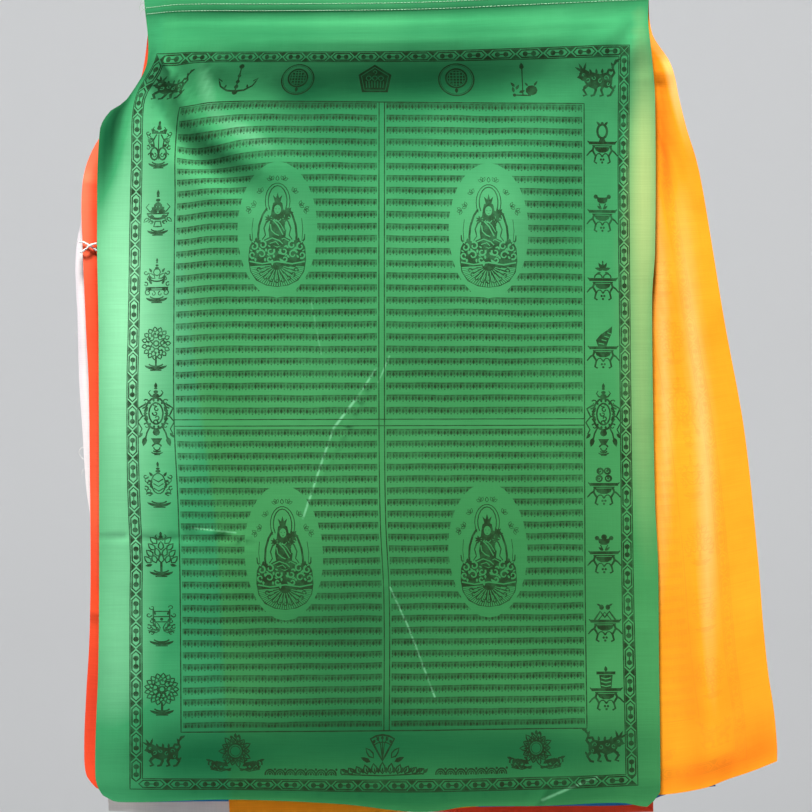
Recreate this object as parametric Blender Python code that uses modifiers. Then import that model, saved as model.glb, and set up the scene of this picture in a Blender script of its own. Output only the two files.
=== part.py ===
"""A folded string of five printed prayer flags, hanging from its two top corners.

Metres, +Z up. The origin is the middle of the front flag's top edge. The front of the stack
looks along -Y. The tables below are in millimetres, and MM turns them into metres.
"""
from collections import namedtuple
from math import cos, exp, hypot, pi, sin

import bmesh
import bpy

MM = 0.001

# Cloth and layers
CLOTH_THICK = 1.2          # a flag, seam allowance and all
STEP_AT_HEADING = 6.5      # from the middle of one flag to the middle of the next
STEP_AT_HEM = 9.5
FLAG_DROP = 815.0          # heading to hem
HEADING_BAND = 19.0        # the stitched top stays flat this far down
FOLD_START = 26.0          # and the folds grow over this much more
BAND_ROWS = 2              # rows of a flag's grid inside the stitched top

# Heading tape
TAPE_THICK = 1.0
TAPE_TOP = 3.0             # below the top edge
TAPE_WIDTH = 12.0
SEWN_GAP = 0.3
RUN_COLUMN = 26.0          # longest straight stretch between two columns of the tape
TURN_PARTS = 7

# Tie
TIE_RADIUS = 1.1
TIE_CLEARANCE = 1.2        # from the red flag's faces and edge
TIE_CROSSING_LIFT = 2.8    # the upper pass lies this much in front of the lower one

Fold = namedtuple("Fold", "x_from z_from x_to z_to half_from half_to rise_from rise_to")
Flag = namedtuple("Flag", "name layer colour columns rows side crowding left right hem folds")
Turn = namedtuple("Turn", "x_middle y_from y_to side")

# The top edge runs slightly uphill to the right: (x, z)
HEADING_LINE = (
    (-256, -6.5), (-220, -2.1), (-140, -1.5), (-20, -0.5), (50, 1.5), (100, 4.0), (150, 6.5), (250, 11.5),
)

# Folds that the whole stack shares, because both top corners are pinched as one.
# A rise is towards the front, and a negative one is a trough.
SHARED_FOLDS = (
    Fold(-225, -58, 235, -50, 26, 26, 8.0, 7.0),       # swag under the heading
    Fold(-222, -76, -90, -180, 26, 36, 4.5, 2.0),      # ridge down from the left corner
    Fold(-234, -104, -120, -205, 25, 34, -4.5, -1.8),  # trough below that ridge
    Fold(222, -66, 40, -340, 28, 60, 5.0, 1.5),        # ridge down from the right corner
    Fold(212, -130, 120, -390, 28, 50, -4.0, -1.5),    # trough beside it
    Fold(20, -600, 25, -812, 60, 60, 0.0, 6.0),        # the hem's middle hangs forward
    Fold(-150, -560, -160, -812, 60, 60, 0.0, -4.0),
    Fold(170, -600, 180, -812, 55, 55, 0.0, -3.0),
)

GREEN_LEFT = (
    (-803, -297), (-797, -301), (-786, -304.5), (-741, -304.3), (-683, -302), (-607, -301),
    (-337, -301.5), (-238, -303), (-137, -300), (-119, -290), (-108, -275), (-68, -253), (-6, -256),
)
GREEN_RIGHT = (
    (-812, 250), (-803, 259), (-792, 260.5), (-667, 259), (-567, 258), (-507, 255),
    (-307, 252), (-257, 255), (-107, 255), (-68, 252), (-28, 248), (11, 250),
)
GREEN_HEM = (
    (-297, -803), (-283, -809.5), (-174, -807.5), (-60, -811.5), (-5, -817.5), (20, -819),
    (43, -817.5), (64, -814), (139, -813.5), (221, -810.5), (250, -814), (259, -805),
)
GREEN_FOLDS = (
    Fold(-240, -66, -214, -92, 8, 9, 4.5, 3.0),        # sharp crest at the pinched corner
    Fold(-208, -84, -190, -116, 13, 13, 4.5, 4.5),     # lobe beside it
    Fold(-190, -116, -118, -172, 13, 20, 4.5, 2.0),    # the lobe's lower end
    Fold(-226, -108, -150, -186, 10, 12, -2.2, -1.2),  # dark trough under the lobe
    Fold(-269, -92, -292, -196, 8, 10, -9.0, -2.5),    # groove of the turned-back side
    Fold(-286, -112, -300, -210, 8, 8, 3.5, 1.0),      # crest of that side
    Fold(244, -90, 252, -420, 14, 18, 3.5, 1.0),       # right margin
    Fold(-302, -540, -170, -546, 12, 12, -1.6, -1.0),  # old crease across the left side
    Fold(235, -640, 165, -800, 20, 26, 1.0, 3.0),      # soft fold into the right corner
)

YELLOW_LEFT = (
    (-822, -171), (-700, -178), (-548, -185), (-408, -203), (-208, -226), (-100, -238), (-2, -238),
)
YELLOW_RIGHT = (
    (-770, 378), (-755, 378), (-720, 375), (-680, 369), (-632, 364), (-568, 359), (-438, 345),
    (-328, 325), (-207, 305), (-168, 297), (-136, 287), (-104, 279), (-84, 275), (-67, 269),
    (-40, 252), (11, 249),
)
YELLOW_HEM = (
    (-171, -822.5), (-60, -822), (20, -819), (100, -813), (260, -803.5), (305, -796.5),
    (329, -787.5), (353, -779.5), (378, -769.5),
)
YELLOW_FOLDS = (
    Fold(271, -80, 300, -200, 11, 15, 5.0, 1.5),       # turned-over side near the corner
    Fold(260, -96, 272, -270, 10, 14, -3.0, -1.0),     # deep trough beside it
    Fold(292, -340, 318, -760, 15, 22, 1.0, 3.5),      # long pale fold
    Fold(338, -470, 348, -750, 18, 22, -0.5, -2.0),
    Fold(268, -420, 262, -770, 12, 14, 0.5, 1.5),
)

BLUE_LEFT = ((-812, -252), (-600, -250), (-400, -243), (-200, -238), (-3, -239))
BLUE_RIGHT = (
    (-796, 317), (-748, 312), (-628, 300), (-458, 284), (-308, 268), (-158, 252), (-60, 242), (10, 240),
)
BLUE_HEM = (
    (-252, -811.5), (-174, -811), (0, -815.5), (160, -815.5), (240, -813.5), (265, -804.5),
    (290, -798.5), (317, -795.5),
)
BLUE_FOLDS = (Fold(-90, -420, -70, -800, 40, 50, 0.0, 1.5), Fold(110, -420, 100, -800, 40, 50, 0.0, -1.2))

RED_LEFT = (
    (-798, -306), (-786, -315.5), (-760, -318), (-704, -316), (-655, -313), (-587, -311.3), (-464, -312),
    (-388, -313), (-338, -315.5), (-251, -319), (-208, -320), (-178, -317), (-158, -310), (-141, -300),
    (-128, -290), (-90, -262), (-4, -250),
)
RED_RIGHT = ((-822, 255), (-508, 255), (-208, 250), (-100, 241), (9, 236))
RED_HEM = (
    (-306, -798), (-290, -803.5), (-172, -807.5), (-70, -813.5), (20, -820.5), (140, -824.5), (255, -822),
)
RED_FOLDS = (
    Fold(-315, -190, -308, -620, 9, 9, 3.5, 2.5),      # lit crest along the left edge
    Fold(-298, -200, -296, -600, 10, 10, -2.5, -2.0),
    Fold(40, -420, 30, -800, 40, 50, 0.0, 1.4),
)

WHITE_LEFT = (
    (-822, -294), (-708, -301), (-607, -306), (-537, -311), (-495, -316.6), (-426, -321), (-388, -323.5),
    (-322, -325), (-292, -326.5), (-269, -327), (-246, -325), (-226, -321), (-212, -319), (-188, -314),
    (-158, -304), (-136, -289), (-90, -260), (-5, -250),
)
WHITE_RIGHT = ((-816, 240), (-608, 245), (-308, 248), (-100, 240), (8, 236))
WHITE_HEM = ((-294, -822), (-172, -825.5), (20, -823.5), (140, -820), (240, -816))
WHITE_FOLDS = (
    Fold(-322, -240, -318, -520, 9, 10, -1.5, -2.5),   # its left edge curls away to the back
    Fold(-120, -300, -60, -800, 34, 50, -0.5, -3.0),   # folds of the free back
    Fold(90, -260, 130, -800, 34, 50, -0.5, -3.5),
)

FLAGS = (
    Flag(
        "green_flag", 0, (58, 140, 88), 32, 42, "left", 1.28,
        GREEN_LEFT, GREEN_RIGHT, GREEN_HEM, GREEN_FOLDS,
    ),
    Flag(
        "yellow_flag", 1, (252, 160, 22), 25, 30, "right", 1.28,
        YELLOW_LEFT, YELLOW_RIGHT, YELLOW_HEM, YELLOW_FOLDS,
    ),
    Flag(
        "blue_flag", 2, (22, 104, 168), 15, 22, "left", 1.0,
        BLUE_LEFT, BLUE_RIGHT, BLUE_HEM, BLUE_FOLDS,
    ),
    Flag(
        "red_flag", 3, (214, 48, 44), 19, 25, "left", 1.6,
        RED_LEFT, RED_RIGHT, RED_HEM, RED_FOLDS,
    ),
    Flag(
        "white_flag", 4, (232, 230, 230), 18, 26, "left", 1.4,
        WHITE_LEFT, WHITE_RIGHT, WHITE_HEM, WHITE_FOLDS,
    ),
)
ROW_CROWDING = 1.28        # above 1, rows crowd to the top, and columns to the side that shows folds

# The tape's way through the stack, from the white flag's free end to the blue flag's.
# y is counted from the front flag's middle at the heading.
TAPE_OFFSET = CLOTH_THICK / 2 + SEWN_GAP + TAPE_THICK / 2
TAPE_START_X, TAPE_END_X = -247.0, 237.0
TAPE_TURNS = (
    Turn(239.0, 4 * STEP_AT_HEADING + TAPE_OFFSET, 3 * STEP_AT_HEADING - TAPE_OFFSET, 1),
    Turn(-245.5, 3 * STEP_AT_HEADING - TAPE_OFFSET, TAPE_OFFSET, -1),
    Turn(240.0, TAPE_OFFSET, STEP_AT_HEADING - TAPE_OFFSET, 1),
    Turn(-242.5, STEP_AT_HEADING - TAPE_OFFSET, 2 * STEP_AT_HEADING + TAPE_OFFSET, -1),
)


def smooth_through(table, at):
    """The value at `at` on a smooth curve through (position, value) rows, held flat past the ends."""
    if at <= table[0][0]:
        return table[0][1]
    if at >= table[-1][0]:
        return table[-1][1]
    i = max(k for k in range(len(table) - 1) if table[k][0] <= at)

    def slope(k):
        low, high = max(k - 1, 0), min(k + 1, len(table) - 1)
        return (table[high][1] - table[low][1]) / (table[high][0] - table[low][0])

    (p0, v0), (p1, v1) = table[i], table[i + 1]
    span = p1 - p0
    t = (at - p0) / span
    return (
        v0 * (2 * t**3 - 3 * t**2 + 1)
        + v1 * (3 * t**2 - 2 * t**3)
        + span * slope(i) * (t**3 - 2 * t**2 + t)
        + span * slope(i + 1) * (t**3 - t**2)
    )


def eased(t):
    """0 to 1 without a corner at either end."""
    t = min(max(t, 0.0), 1.0)
    return t * t * (3 - 2 * t)


def fold_rise(folds, x, z):
    """How far the folds bring the cloth forward at (x, z)."""
    rise = 0.0
    for f in folds:
        along_x, along_z = f.x_to - f.x_from, f.z_to - f.z_from
        t = ((x - f.x_from) * along_x + (z - f.z_from) * along_z) / (along_x**2 + along_z**2)
        t = min(max(t, 0.0), 1.0)
        away = hypot(x - f.x_from - t * along_x, z - f.z_from - t * along_z)
        half = f.half_from + t * (f.half_to - f.half_from)
        rise += (f.rise_from + t * (f.rise_to - f.rise_from)) * exp(-((away / half) ** 2))
    return rise


def depth_of(layer, folds, x, z):
    """y of a flag's middle surface: its layer, less what its folds bring forward."""
    below = smooth_through(HEADING_LINE, x) - z
    step = STEP_AT_HEADING + (STEP_AT_HEM - STEP_AT_HEADING) * eased(below / FLAG_DROP)
    grown = eased((below - HEADING_BAND) / FOLD_START)
    return layer * step - grown * (fold_rise(SHARED_FOLDS, x, z) + fold_rise(folds, x, z))


def cloth_point(flag, across, down):
    """The point of a flag's middle surface at across 0 to 1, left to right, and down 0 to 1."""
    top_x = flag.left[-1][1] + (flag.right[-1][1] - flag.left[-1][1]) * across
    hem_x = flag.hem[0][0] + (flag.hem[-1][0] - flag.hem[0][0]) * across
    top_z = smooth_through(HEADING_LINE, top_x)
    z = top_z + (smooth_through(flag.hem, hem_x) - top_z) * down
    left, right = smooth_through(flag.left, z), smooth_through(flag.right, z)
    x = left + (right - left) * across
    return x, depth_of(flag.layer, flag.folds, x, z), z


def cloth_material(name, srgb):
    """A woven cloth's colour, given as 8-bit sRGB."""
    material = bpy.data.materials.new(name)
    material.use_nodes = True
    shader = material.node_tree.nodes["Principled BSDF"]
    shader.inputs["Base Color"].default_value = [*((c / 255) ** 2.2 for c in srgb), 1.0]
    shader.inputs["Roughness"].default_value = 0.8
    shader.inputs["Metallic"].default_value = 0.0
    return material


def add_sheet(collection, name, columns, rows, place, thick, material):
    """A flat grid whose points are put in place, then thickened to both sides."""
    mesh = bpy.data.meshes.new(name)
    grid = bmesh.new()
    bmesh.ops.create_grid(grid, x_segments=columns, y_segments=rows, size=0.5)
    for vertex in grid.verts:
        x, y, z = place(vertex.co.x + 0.5, 0.5 - vertex.co.y)
        vertex.co = (x * MM, y * MM, z * MM)
    grid.to_mesh(mesh)
    grid.free()
    mesh.shade_smooth()
    mesh.materials.append(material)
    sheet = bpy.data.objects.new(name, mesh)
    shell = sheet.modifiers.new("thickness", "SOLIDIFY")
    shell.thickness = thick * MM
    shell.offset = 0.0
    shell.use_even_offset = True
    collection.objects.link(sheet)
    return sheet


def add_flag(collection, flag):
    """One flag, with even rows in its stitched top and the rest of the grid crowded to where its folds are."""
    band_share, band_down = BAND_ROWS / flag.rows, HEADING_BAND / FLAG_DROP

    def place(t, s):
        across = t**flag.crowding if flag.side == "left" else 1 - (1 - t) ** flag.crowding
        if s <= band_share:
            return cloth_point(flag, across, band_down * s / band_share)
        rest = (s - band_share) / (1 - band_share)
        return cloth_point(flag, across, band_down + (1 - band_down) * rest**ROW_CROWDING)

    material = cloth_material(flag.name, flag.colour)
    return add_sheet(collection, flag.name, flag.columns, flag.rows, place, CLOTH_THICK, material)


def tape_route():
    """The tape's middle line seen from above, as (x, y) points from end to end."""
    route = [(TAPE_START_X, TAPE_TURNS[0].y_from)]
    for turn in TAPE_TURNS:
        run_to(route, turn.x_middle, turn.y_from)
        radius = abs(turn.y_to - turn.y_from) / 2
        middle = (turn.y_from + turn.y_to) / 2
        way = 1 if turn.y_to > turn.y_from else -1
        for k in range(1, TURN_PARTS + 1):
            angle = pi * k / TURN_PARTS
            x = turn.x_middle + turn.side * radius * sin(angle)
            route.append((x, middle - way * radius * cos(angle)))
    run_to(route, TAPE_END_X, TAPE_TURNS[-1].y_to)
    return route


def run_to(route, x_to, y):
    """Adds even points to the route along a straight run to x_to."""
    x_from = route[-1][0]
    parts = max(1, round(abs(x_to - x_from) / RUN_COLUMN))
    route.extend((x_from + (x_to - x_from) * k / parts, y) for k in range(1, parts + 1))


def add_tape(collection):
    route = tape_route()

    def place(t, s):
        x, y = route[round(t * (len(route) - 1))]
        return x, y, smooth_through(HEADING_LINE, x) - TAPE_TOP - TAPE_WIDTH * s

    material = cloth_material("heading_tape", (226, 228, 214))
    return add_sheet(collection, "heading_tape", len(route) - 1, 1, place, TAPE_THICK, material)


def add_tie(collection):
    """A thread knotted round the red flag's left edge: two turns, one crossing and two free ends."""
    red = FLAGS[3]
    clear = CLOTH_THICK / 2 + TIE_CLEARANCE + TIE_RADIUS

    def front(x, z, lift=0.0):
        return x, depth_of(red.layer, red.folds, x, z) - clear - lift, z

    def back(x, z):
        return x, depth_of(red.layer, red.folds, x, z) + clear, z

    def beyond(z, share):
        """Past the edge, at a share of the way from the front run to the back one."""
        edge = smooth_through(red.left, z)
        near, far = front(edge, z)[1], back(edge, z)[1]
        return edge - clear * sin(pi * (0.15 + 0.7 * share)), near + (far - near) * share, z

    route = [
        front(-304.8, -257.5), front(-308, -255), front(-311.5, -252.8), front(-315.5, -250.2),
        front(-318.5, -248.8), beyond(-248.5, 0.2), beyond(-248.5, 0.5), beyond(-248.5, 0.8),
        back(-318, -248.8), back(-314, -249.6), back(-310, -251), back(-307, -253.5),
        back(-310, -256), back(-314, -257.4), back(-318, -258.2),
        beyond(-258.5, 0.8), beyond(-258.5, 0.5), beyond(-258.5, 0.2),
        front(-318.5, -258.2, 0.2), front(-315.5, -256, 1.6), front(-311.5, -252.8, TIE_CROSSING_LIFT),
        front(-308, -251.2, 1.6), front(-304.8, -250.3, 0.2),
    ]
    parts = 3
    curve = bpy.data.curves.new("white_tie", "CURVE")
    curve.dimensions = "3D"
    curve.bevel_depth = TIE_RADIUS * MM
    curve.bevel_resolution = 2
    curve.use_fill_caps = True
    points = smooth_route(route, parts)
    spline = curve.splines.new("POLY")
    spline.points.add(len(points) - 1)
    for point, place in zip(spline.points, points):
        point.co = (*(c * MM for c in place), 1.0)
    curve.materials.append(cloth_material("white_tie", (240, 238, 236)))
    tie = bpy.data.objects.new("white_tie", curve)
    collection.objects.link(tie)
    return tie


def smooth_route(route, parts):
    """Points on a smooth curve through the route's own points, `parts` to each stretch."""
    stations = [0.0]
    for a, b in zip(route, route[1:]):
        stations.append(stations[-1] + hypot(*(q - p for p, q in zip(a, b))))
    tables = [tuple(zip(stations, (place[axis] for place in route))) for axis in range(3)]
    finer = [a + (b - a) * k / parts for a, b in zip(stations, stations[1:]) for k in range(parts)]
    return [tuple(smooth_through(table, s) for table in tables) for s in [*finer, stations[-1]]]


for leftover in list(bpy.data.objects):
    bpy.data.objects.remove(leftover, do_unlink=True)

flag_string = bpy.data.collections.new("prayer_flag_string")
bpy.context.scene.collection.children.link(flag_string)
for one_flag in FLAGS:
    add_flag(flag_string, one_flag)
add_tape(flag_string)
add_tie(flag_string)
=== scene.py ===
"""The looks of a folded string of five printed prayer flags, hung by its top corners. Lengths are in mm."""
from collections import namedtuple
from math import ceil, cos, hypot, pi, radians, sin

import bmesh
import bpy
import numpy as np
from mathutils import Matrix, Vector
from mathutils.geometry import delaunay_2d_cdt


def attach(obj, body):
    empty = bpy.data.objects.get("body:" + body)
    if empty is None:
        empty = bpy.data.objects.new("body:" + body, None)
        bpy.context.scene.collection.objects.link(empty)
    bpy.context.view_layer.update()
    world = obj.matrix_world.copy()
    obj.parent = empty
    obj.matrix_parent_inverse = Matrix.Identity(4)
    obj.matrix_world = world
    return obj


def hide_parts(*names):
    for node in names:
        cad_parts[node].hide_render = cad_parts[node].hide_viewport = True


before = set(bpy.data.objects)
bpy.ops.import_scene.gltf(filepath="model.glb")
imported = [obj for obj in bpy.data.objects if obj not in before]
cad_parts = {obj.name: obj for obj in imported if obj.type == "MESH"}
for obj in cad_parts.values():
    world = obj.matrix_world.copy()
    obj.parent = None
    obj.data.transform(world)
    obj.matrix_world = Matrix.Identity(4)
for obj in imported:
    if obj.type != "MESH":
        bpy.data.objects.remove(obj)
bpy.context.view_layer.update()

# The camera looks straight at the front flag from well away, as the stack is shown, face on.
# Its picture is as wide as the stack and cuts the heading and the lowest hems just as closely.
MM = 0.001
PICTURE_WIDE = 812.0
PICTURE_MIDDLE = (6.0, -413.5)
CAMERA_AWAY = 4200.0
SENSOR = 36.0

camera_data = bpy.data.cameras.new("camera")
camera_data.sensor_width = SENSOR
camera_data.lens = SENSOR * CAMERA_AWAY / PICTURE_WIDE
camera = bpy.data.objects.new("camera", camera_data)
camera.location = (PICTURE_MIDDLE[0] * MM, -CAMERA_AWAY * MM, PICTURE_MIDDLE[1] * MM)
camera.rotation_euler = (pi / 2, 0, 0)
bpy.context.scene.collection.objects.link(camera)
bpy.context.scene.camera = camera
bpy.context.scene.view_settings.view_transform = "Standard"

# The floor is a wide pale disc, well below the hems, whose rim curves up all round like a studio cove.
# It is one turned profile in matt paper.
FLOOR_Z = -1.75
COVE_PROFILE = ((0.0, 0.0), (7.5, 0.0), (8.6, 0.12), (9.6, 0.6), (10.3, 1.5), (10.6, 2.8), (10.7, 4.6))
COVE_PARTS = 64

cove = bmesh.new()
rim = [cove.verts.new((radius, 0, FLOOR_Z + height)) for radius, height in COVE_PROFILE]
edges = [cove.edges.new(pair) for pair in zip(rim, rim[1:])]
bmesh.ops.spin(
    cove, geom=rim + edges, cent=(0, 0, 0), axis=(0, 0, 1), angle=2 * pi, steps=COVE_PARTS, use_merge=True,
)
bmesh.ops.remove_doubles(cove, verts=cove.verts, dist=0.001)
bmesh.ops.recalc_face_normals(cove, faces=cove.faces)
cove_mesh = bpy.data.meshes.new("floor")
cove.to_mesh(cove_mesh)
cove.free()
cove_mesh.shade_smooth()
paper = bpy.data.materials.new("pale_paper")
paper.use_nodes = True
paper_shader = paper.node_tree.nodes["Principled BSDF"]
paper_shader.inputs["Base Color"].default_value = (0.74, 0.75, 0.76, 1)
paper_shader.inputs["Roughness"].default_value = 0.95
cove_mesh.materials.append(paper)
floor = bpy.data.objects.new("floor", cove_mesh)
bpy.context.scene.collection.objects.link(floor)

# A soft box high in front rakes down the folds, with a weak one to fill them and another for the free back.
# Two more are turned away, to keep the cove pale, and the room adds a little even light.
Lamp = namedtuple("Lamp", "name place aim size watts colour spread", defaults=(180,))
STACK_MIDDLE = (0.0, 0.0, -0.42)
LAMPS = (
    Lamp("key", (-0.33, -2.1, 3.96), STACK_MIDDLE, 0.9, 70, (1.0, 0.99, 0.96), 60),
    Lamp("fill", (-2.2, -2.0, 0.3), STACK_MIDDLE, 1.2, 14, (0.96, 0.98, 1.0)),
    Lamp("behind", (0.8, 1.3, 1.6), STACK_MIDDLE, 0.8, 68, (1.0, 0.99, 0.97)),
    Lamp("cove_behind", (0.0, 2.6, 2.4), (0.0, 10.0, -0.2), 2.5, 400, (1.0, 1.0, 1.0)),
    Lamp("cove_in_front", (0.0, -5.2, 2.4), (0.0, -12.0, -0.2), 2.5, 80, (1.0, 1.0, 1.0)),
)
for lamp in LAMPS:
    light = bpy.data.lights.new(lamp.name, "AREA")
    light.size = lamp.size
    light.energy = lamp.watts
    light.color = lamp.colour
    light.spread = radians(lamp.spread)
    stand = bpy.data.objects.new(lamp.name, light)
    stand.location = lamp.place
    stand.rotation_euler = (Vector(lamp.aim) - Vector(lamp.place)).to_track_quat("-Z", "Y").to_euler()
    bpy.context.scene.collection.objects.link(stand)
room = bpy.data.worlds.new("room")
room.use_nodes = True
room.node_tree.nodes["Background"].inputs["Color"].default_value = (0.93, 0.95, 1.0, 1)
room.node_tree.nodes["Background"].inputs["Strength"].default_value = 0.03
bpy.context.scene.world = room

# The green flag is the front one: thin woven cloth, block-printed in near-black ink, its top turned over
# twice and sewn down in two rows. It hangs in shallow folds that run out of its two pinched corners.
Fold = namedtuple("Fold", "x_from z_from x_to z_to half_from half_to rise_from rise_to")
Pull = namedtuple("Pull", "x z half_x half_z move_x move_z")
Flag = namedtuple("Flag", "name node slot layer printed_front across_lines down_lines folds creases pulls")

CLOTH_WIDE, CLOTH_LONG = 558.0, 822.0
STEP_AT_HEADING, STEP_AT_HEM = 6.5, 9.5
FLAG_DROP = 815.0
HEADING_BAND, FOLD_START = 19.0, 26.0
CREASE_STEP, CREASE_REACH = 9.0, 2.6

HEADING_LINE = (
    (-256, -6.5), (-220, -2.1), (-140, -1.5), (-20, -0.5), (50, 1.5), (100, 4.0), (150, 6.5), (250, 11.5),
)
SHARED_FOLDS = (
    Fold(-225, -58, 235, -50, 26, 26, 8.0, 7.0),       # swag under the heading
    Fold(-222, -76, -90, -180, 26, 36, 4.5, 2.0),      # ridge down from the left corner
    Fold(-234, -104, -120, -205, 25, 34, -4.5, -1.8),  # trough below that ridge
    Fold(222, -66, 40, -340, 28, 60, 5.0, 1.5),        # ridge down from the right corner
    Fold(212, -130, 120, -390, 28, 50, -4.0, -1.5),    # trough beside it
    Fold(20, -600, 25, -812, 60, 60, 0.0, 6.0),        # the hem's middle hangs forward
    Fold(-150, -560, -160, -812, 60, 60, 0.0, -4.0),
    Fold(170, -600, 180, -812, 55, 55, 0.0, -3.0),
)
GREEN_LEFT = (
    (-803, -297), (-797, -301), (-786, -304.5), (-741, -304.3), (-683, -302), (-607, -301),
    (-337, -301.5), (-238, -303), (-137, -300), (-119, -290), (-108, -275), (-68, -253), (-6, -256),
)
GREEN_RIGHT = (
    (-812, 250), (-803, 259), (-792, 260.5), (-667, 259), (-567, 258), (-507, 255),
    (-307, 252), (-257, 255), (-107, 255), (-68, 252), (-28, 248), (11, 250),
)
GREEN_HEM = (
    (-297, -803), (-283, -809.5), (-174, -807.5), (-60, -811.5), (-5, -817.5), (20, -819),
    (43, -817.5), (64, -814), (139, -813.5), (221, -810.5), (250, -814), (259, -805),
)
GREEN_FOLDS = (
    Fold(244, -90, 252, -420, 14, 18, 3.5, 1.0),       # right margin
    Fold(235, -640, 165, -800, 20, 26, 1.0, 3.0),      # soft fold into the right corner
)
# Where lines of the print lie on the hung flag, from the left edge to the right one and from top to hem
GREEN_ACROSS = (
    (0, GREEN_LEFT),
    (31, (
        (-797, -270), (-607, -270), (-567, -269.6), (-487, -272.5), (-387, -273), (-347, -272),
        (-291, -271), (-229, -270), (-168, -268.4), (-107, -265.3), (-60, -243), (-6, -235),
    )),
    (77, (
        (-737, -219), (-587, -220), (-510, -222), (-425, -226), (-307, -226), (-214, -225),
        (-122, -222), (-60, -200), (-6, -196),
    )),
    (284, ((-739, -13.6), (-607, -13.6), (-527, -17.3), (-427, -18.5), (-110, -18.5))),
    (487, ((-737, 187), (-567, 185), (-111, 184), (-6, 183))),
    (534, ((-792, 238), (-567, 233), (-207, 229), (-58, 229), (-6, 228))),
    (CLOTH_WIDE, GREEN_RIGHT),
)
GREEN_DOWN = (
    (0, HEADING_LINE),
    (62, ((-262, -61.5), (-200, -60.5), (-20, -59.9), (50, -58.8), (200, -53.9), (240, -53.3))),
    (119, ((-262, -117), (-218, -114.5), (-187, -109.5), (-100, -108.5), (184, -111.2), (240, -112))),
    (440, ((-300, -430.5), (0, -429.7), (250, -429.0))),
    (749, ((-300, -740), (-150, -739.5), (160, -736), (250, -735))),
    (807, ((-300, -795), (-270, -796.5), (-150, -797.5), (0, -799), (160, -796), (255, -792))),
    (CLOTH_LONG, GREEN_HEM),
)
# Creases run through stations of x, z, half width and rise. The first table's run through the whole stack.
STACK_CREASES = (
    # The swag's crest under the heading, its long hollow, and the slow way out of it
    ((-205, -48, 12, 0.2), (-150, -50, 16, 0.9), (60, -48, 17, 1.2), (215, -44, 15, 0.8)),
    (
        (-176, -92, 12, -1.0), (-120, -104, 22, -4.6), (-20, -106, 27, -6.0), (90, -98, 25, -5.2),
        (205, -82, 15, -0.8),
    ),
    ((-96, -148, 26, -2.4), (0, -158, 40, -3.0), (100, -150, 36, -2.0)),
    # The lobe, with a hollow above it and the deep trough that follows it
    (
        (-204, -66, 8, -0.8), (-186, -92, 13, -4.2), (-162, -116, 16, -4.8), (-134, -136, 17, -3.2),
        (-104, -156, 20, -0.8),
    ),
    (
        (-232, -72, 6, 2.4), (-222, -98, 9, 6.4), (-207, -128, 11, 8.4), (-184, -150, 11.5, 8.0),
        (-158, -166, 13, 5.4), (-130, -184, 15, 1.4),
    ),
    (
        (-254, -88, 4, -1.0), (-248, -102, 6, -2.8), (-237, -126, 8, -4.4), (-219, -153, 9.5, -5.2),
        (-196, -175, 10.5, -5.0), (-170, -192, 12, -3.2), (-142, -208, 15, -0.8),
    ),
    ((-224, -172, 12, 1.4), (-196, -196, 14, 2.0), (-150, -224, 16, 0.4)),
    # Light folds from the right corner
    ((225, -28, 8, 1.2), (180, -68, 13, 1.7), (110, -130, 22, 0.3)),
    ((229, -40, 8, -1.2), (200, -100, 14, -1.6), (150, -190, 24, -0.4)),
    ((232, -52, 7, 1.0), (214, -140, 13, 1.4), (192, -240, 20, 0.2)),
)
GREEN_CREASES = (
    # Grooves and light streaks along the heading
    ((-236, -25, 3.5, -0.8), (-150, -24.5, 4.5, -2.0), (30, -22.5, 4.5, -1.6), (170, -16, 4, -0.7)),
    ((-236, -34, 3, 0.4), (-60, -35, 3.2, 0.8), (215, -28, 3, 0.5)),
    ((-190, -42, 2.2, -0.4), (70, -40, 2.4, -0.5), (210, -35, 2.2, -0.3)),
    ((-160, -53, 2.4, 0.4), (60, -50, 2.6, 0.4)),
    # The sharp crest at the corner, and the groove and crest of the turned-back side
    ((-244, -60, 2.4, 0.8), (-234, -74, 3.0, 1.6), (-224, -84, 3.4, 1.2), (-214, -92, 4.0, 0.3)),
    (
        (-264, -72, 5, -0.4), (-269, -94, 7.5, -5.6), (-280, -134, 9, -6.4), (-291, -190, 10, -3.0),
        (-298, -250, 12, -0.3),
    ),
    ((-283, -98, 6, 0.4), (-289, -128, 8, 3.4), (-299, -190, 8, 1.4), (-301, -236, 8, 0.2)),
    ((-248, -104, 6, 0.8), (-254, -150, 8, 0.9), (-256, -196, 9, 0.3)),
    # An old crease across the left side, which forks
    (
        (-304, -543, 3.0, -0.8), (-262, -545.5, 3.0, -1.0), (-216, -546.5, 3.0, -1.1),
        (-196, -543, 3.0, -0.6), (-178, -545, 2.4, -1.2), (-146, -553, 3.0, -0.3),
    ),
    ((-214, -535, 2.0, 0.7), (-196, -537, 2.0, 1.0), (-172, -542, 2.2, 0.8), (-140, -549, 3.0, 0.2)),
    # Fine pressed creases
    ((-22, -370, 1.4, 0.3), (-40, -410, 1.6, 1.0), (-62, -452, 1.6, 1.1), (-100, -528, 1.8, 0.4)),
    ((-17, -592, 1.4, 0.4), (6, -640, 1.5, 0.9), (32, -712, 1.5, 0.3)),
    ((156, -787, 3.0, 0.6), (146, -800, 3.2, 1.2), (132, -814, 4.0, 1.0)),
    ((-150, -590, 30, 0.9), (-90, -690, 34, 1.1), (-60, -800, 34, 0.4)),
)
GREEN_PULLS = (
    Pull(-196, -152, 26, 24, 0.0, -7.0),
    Pull(-168, -168, 30, 22, 0.0, -3.0),
    Pull(-232, -84, 18, 20, 4.0, -4.0),
)


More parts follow.
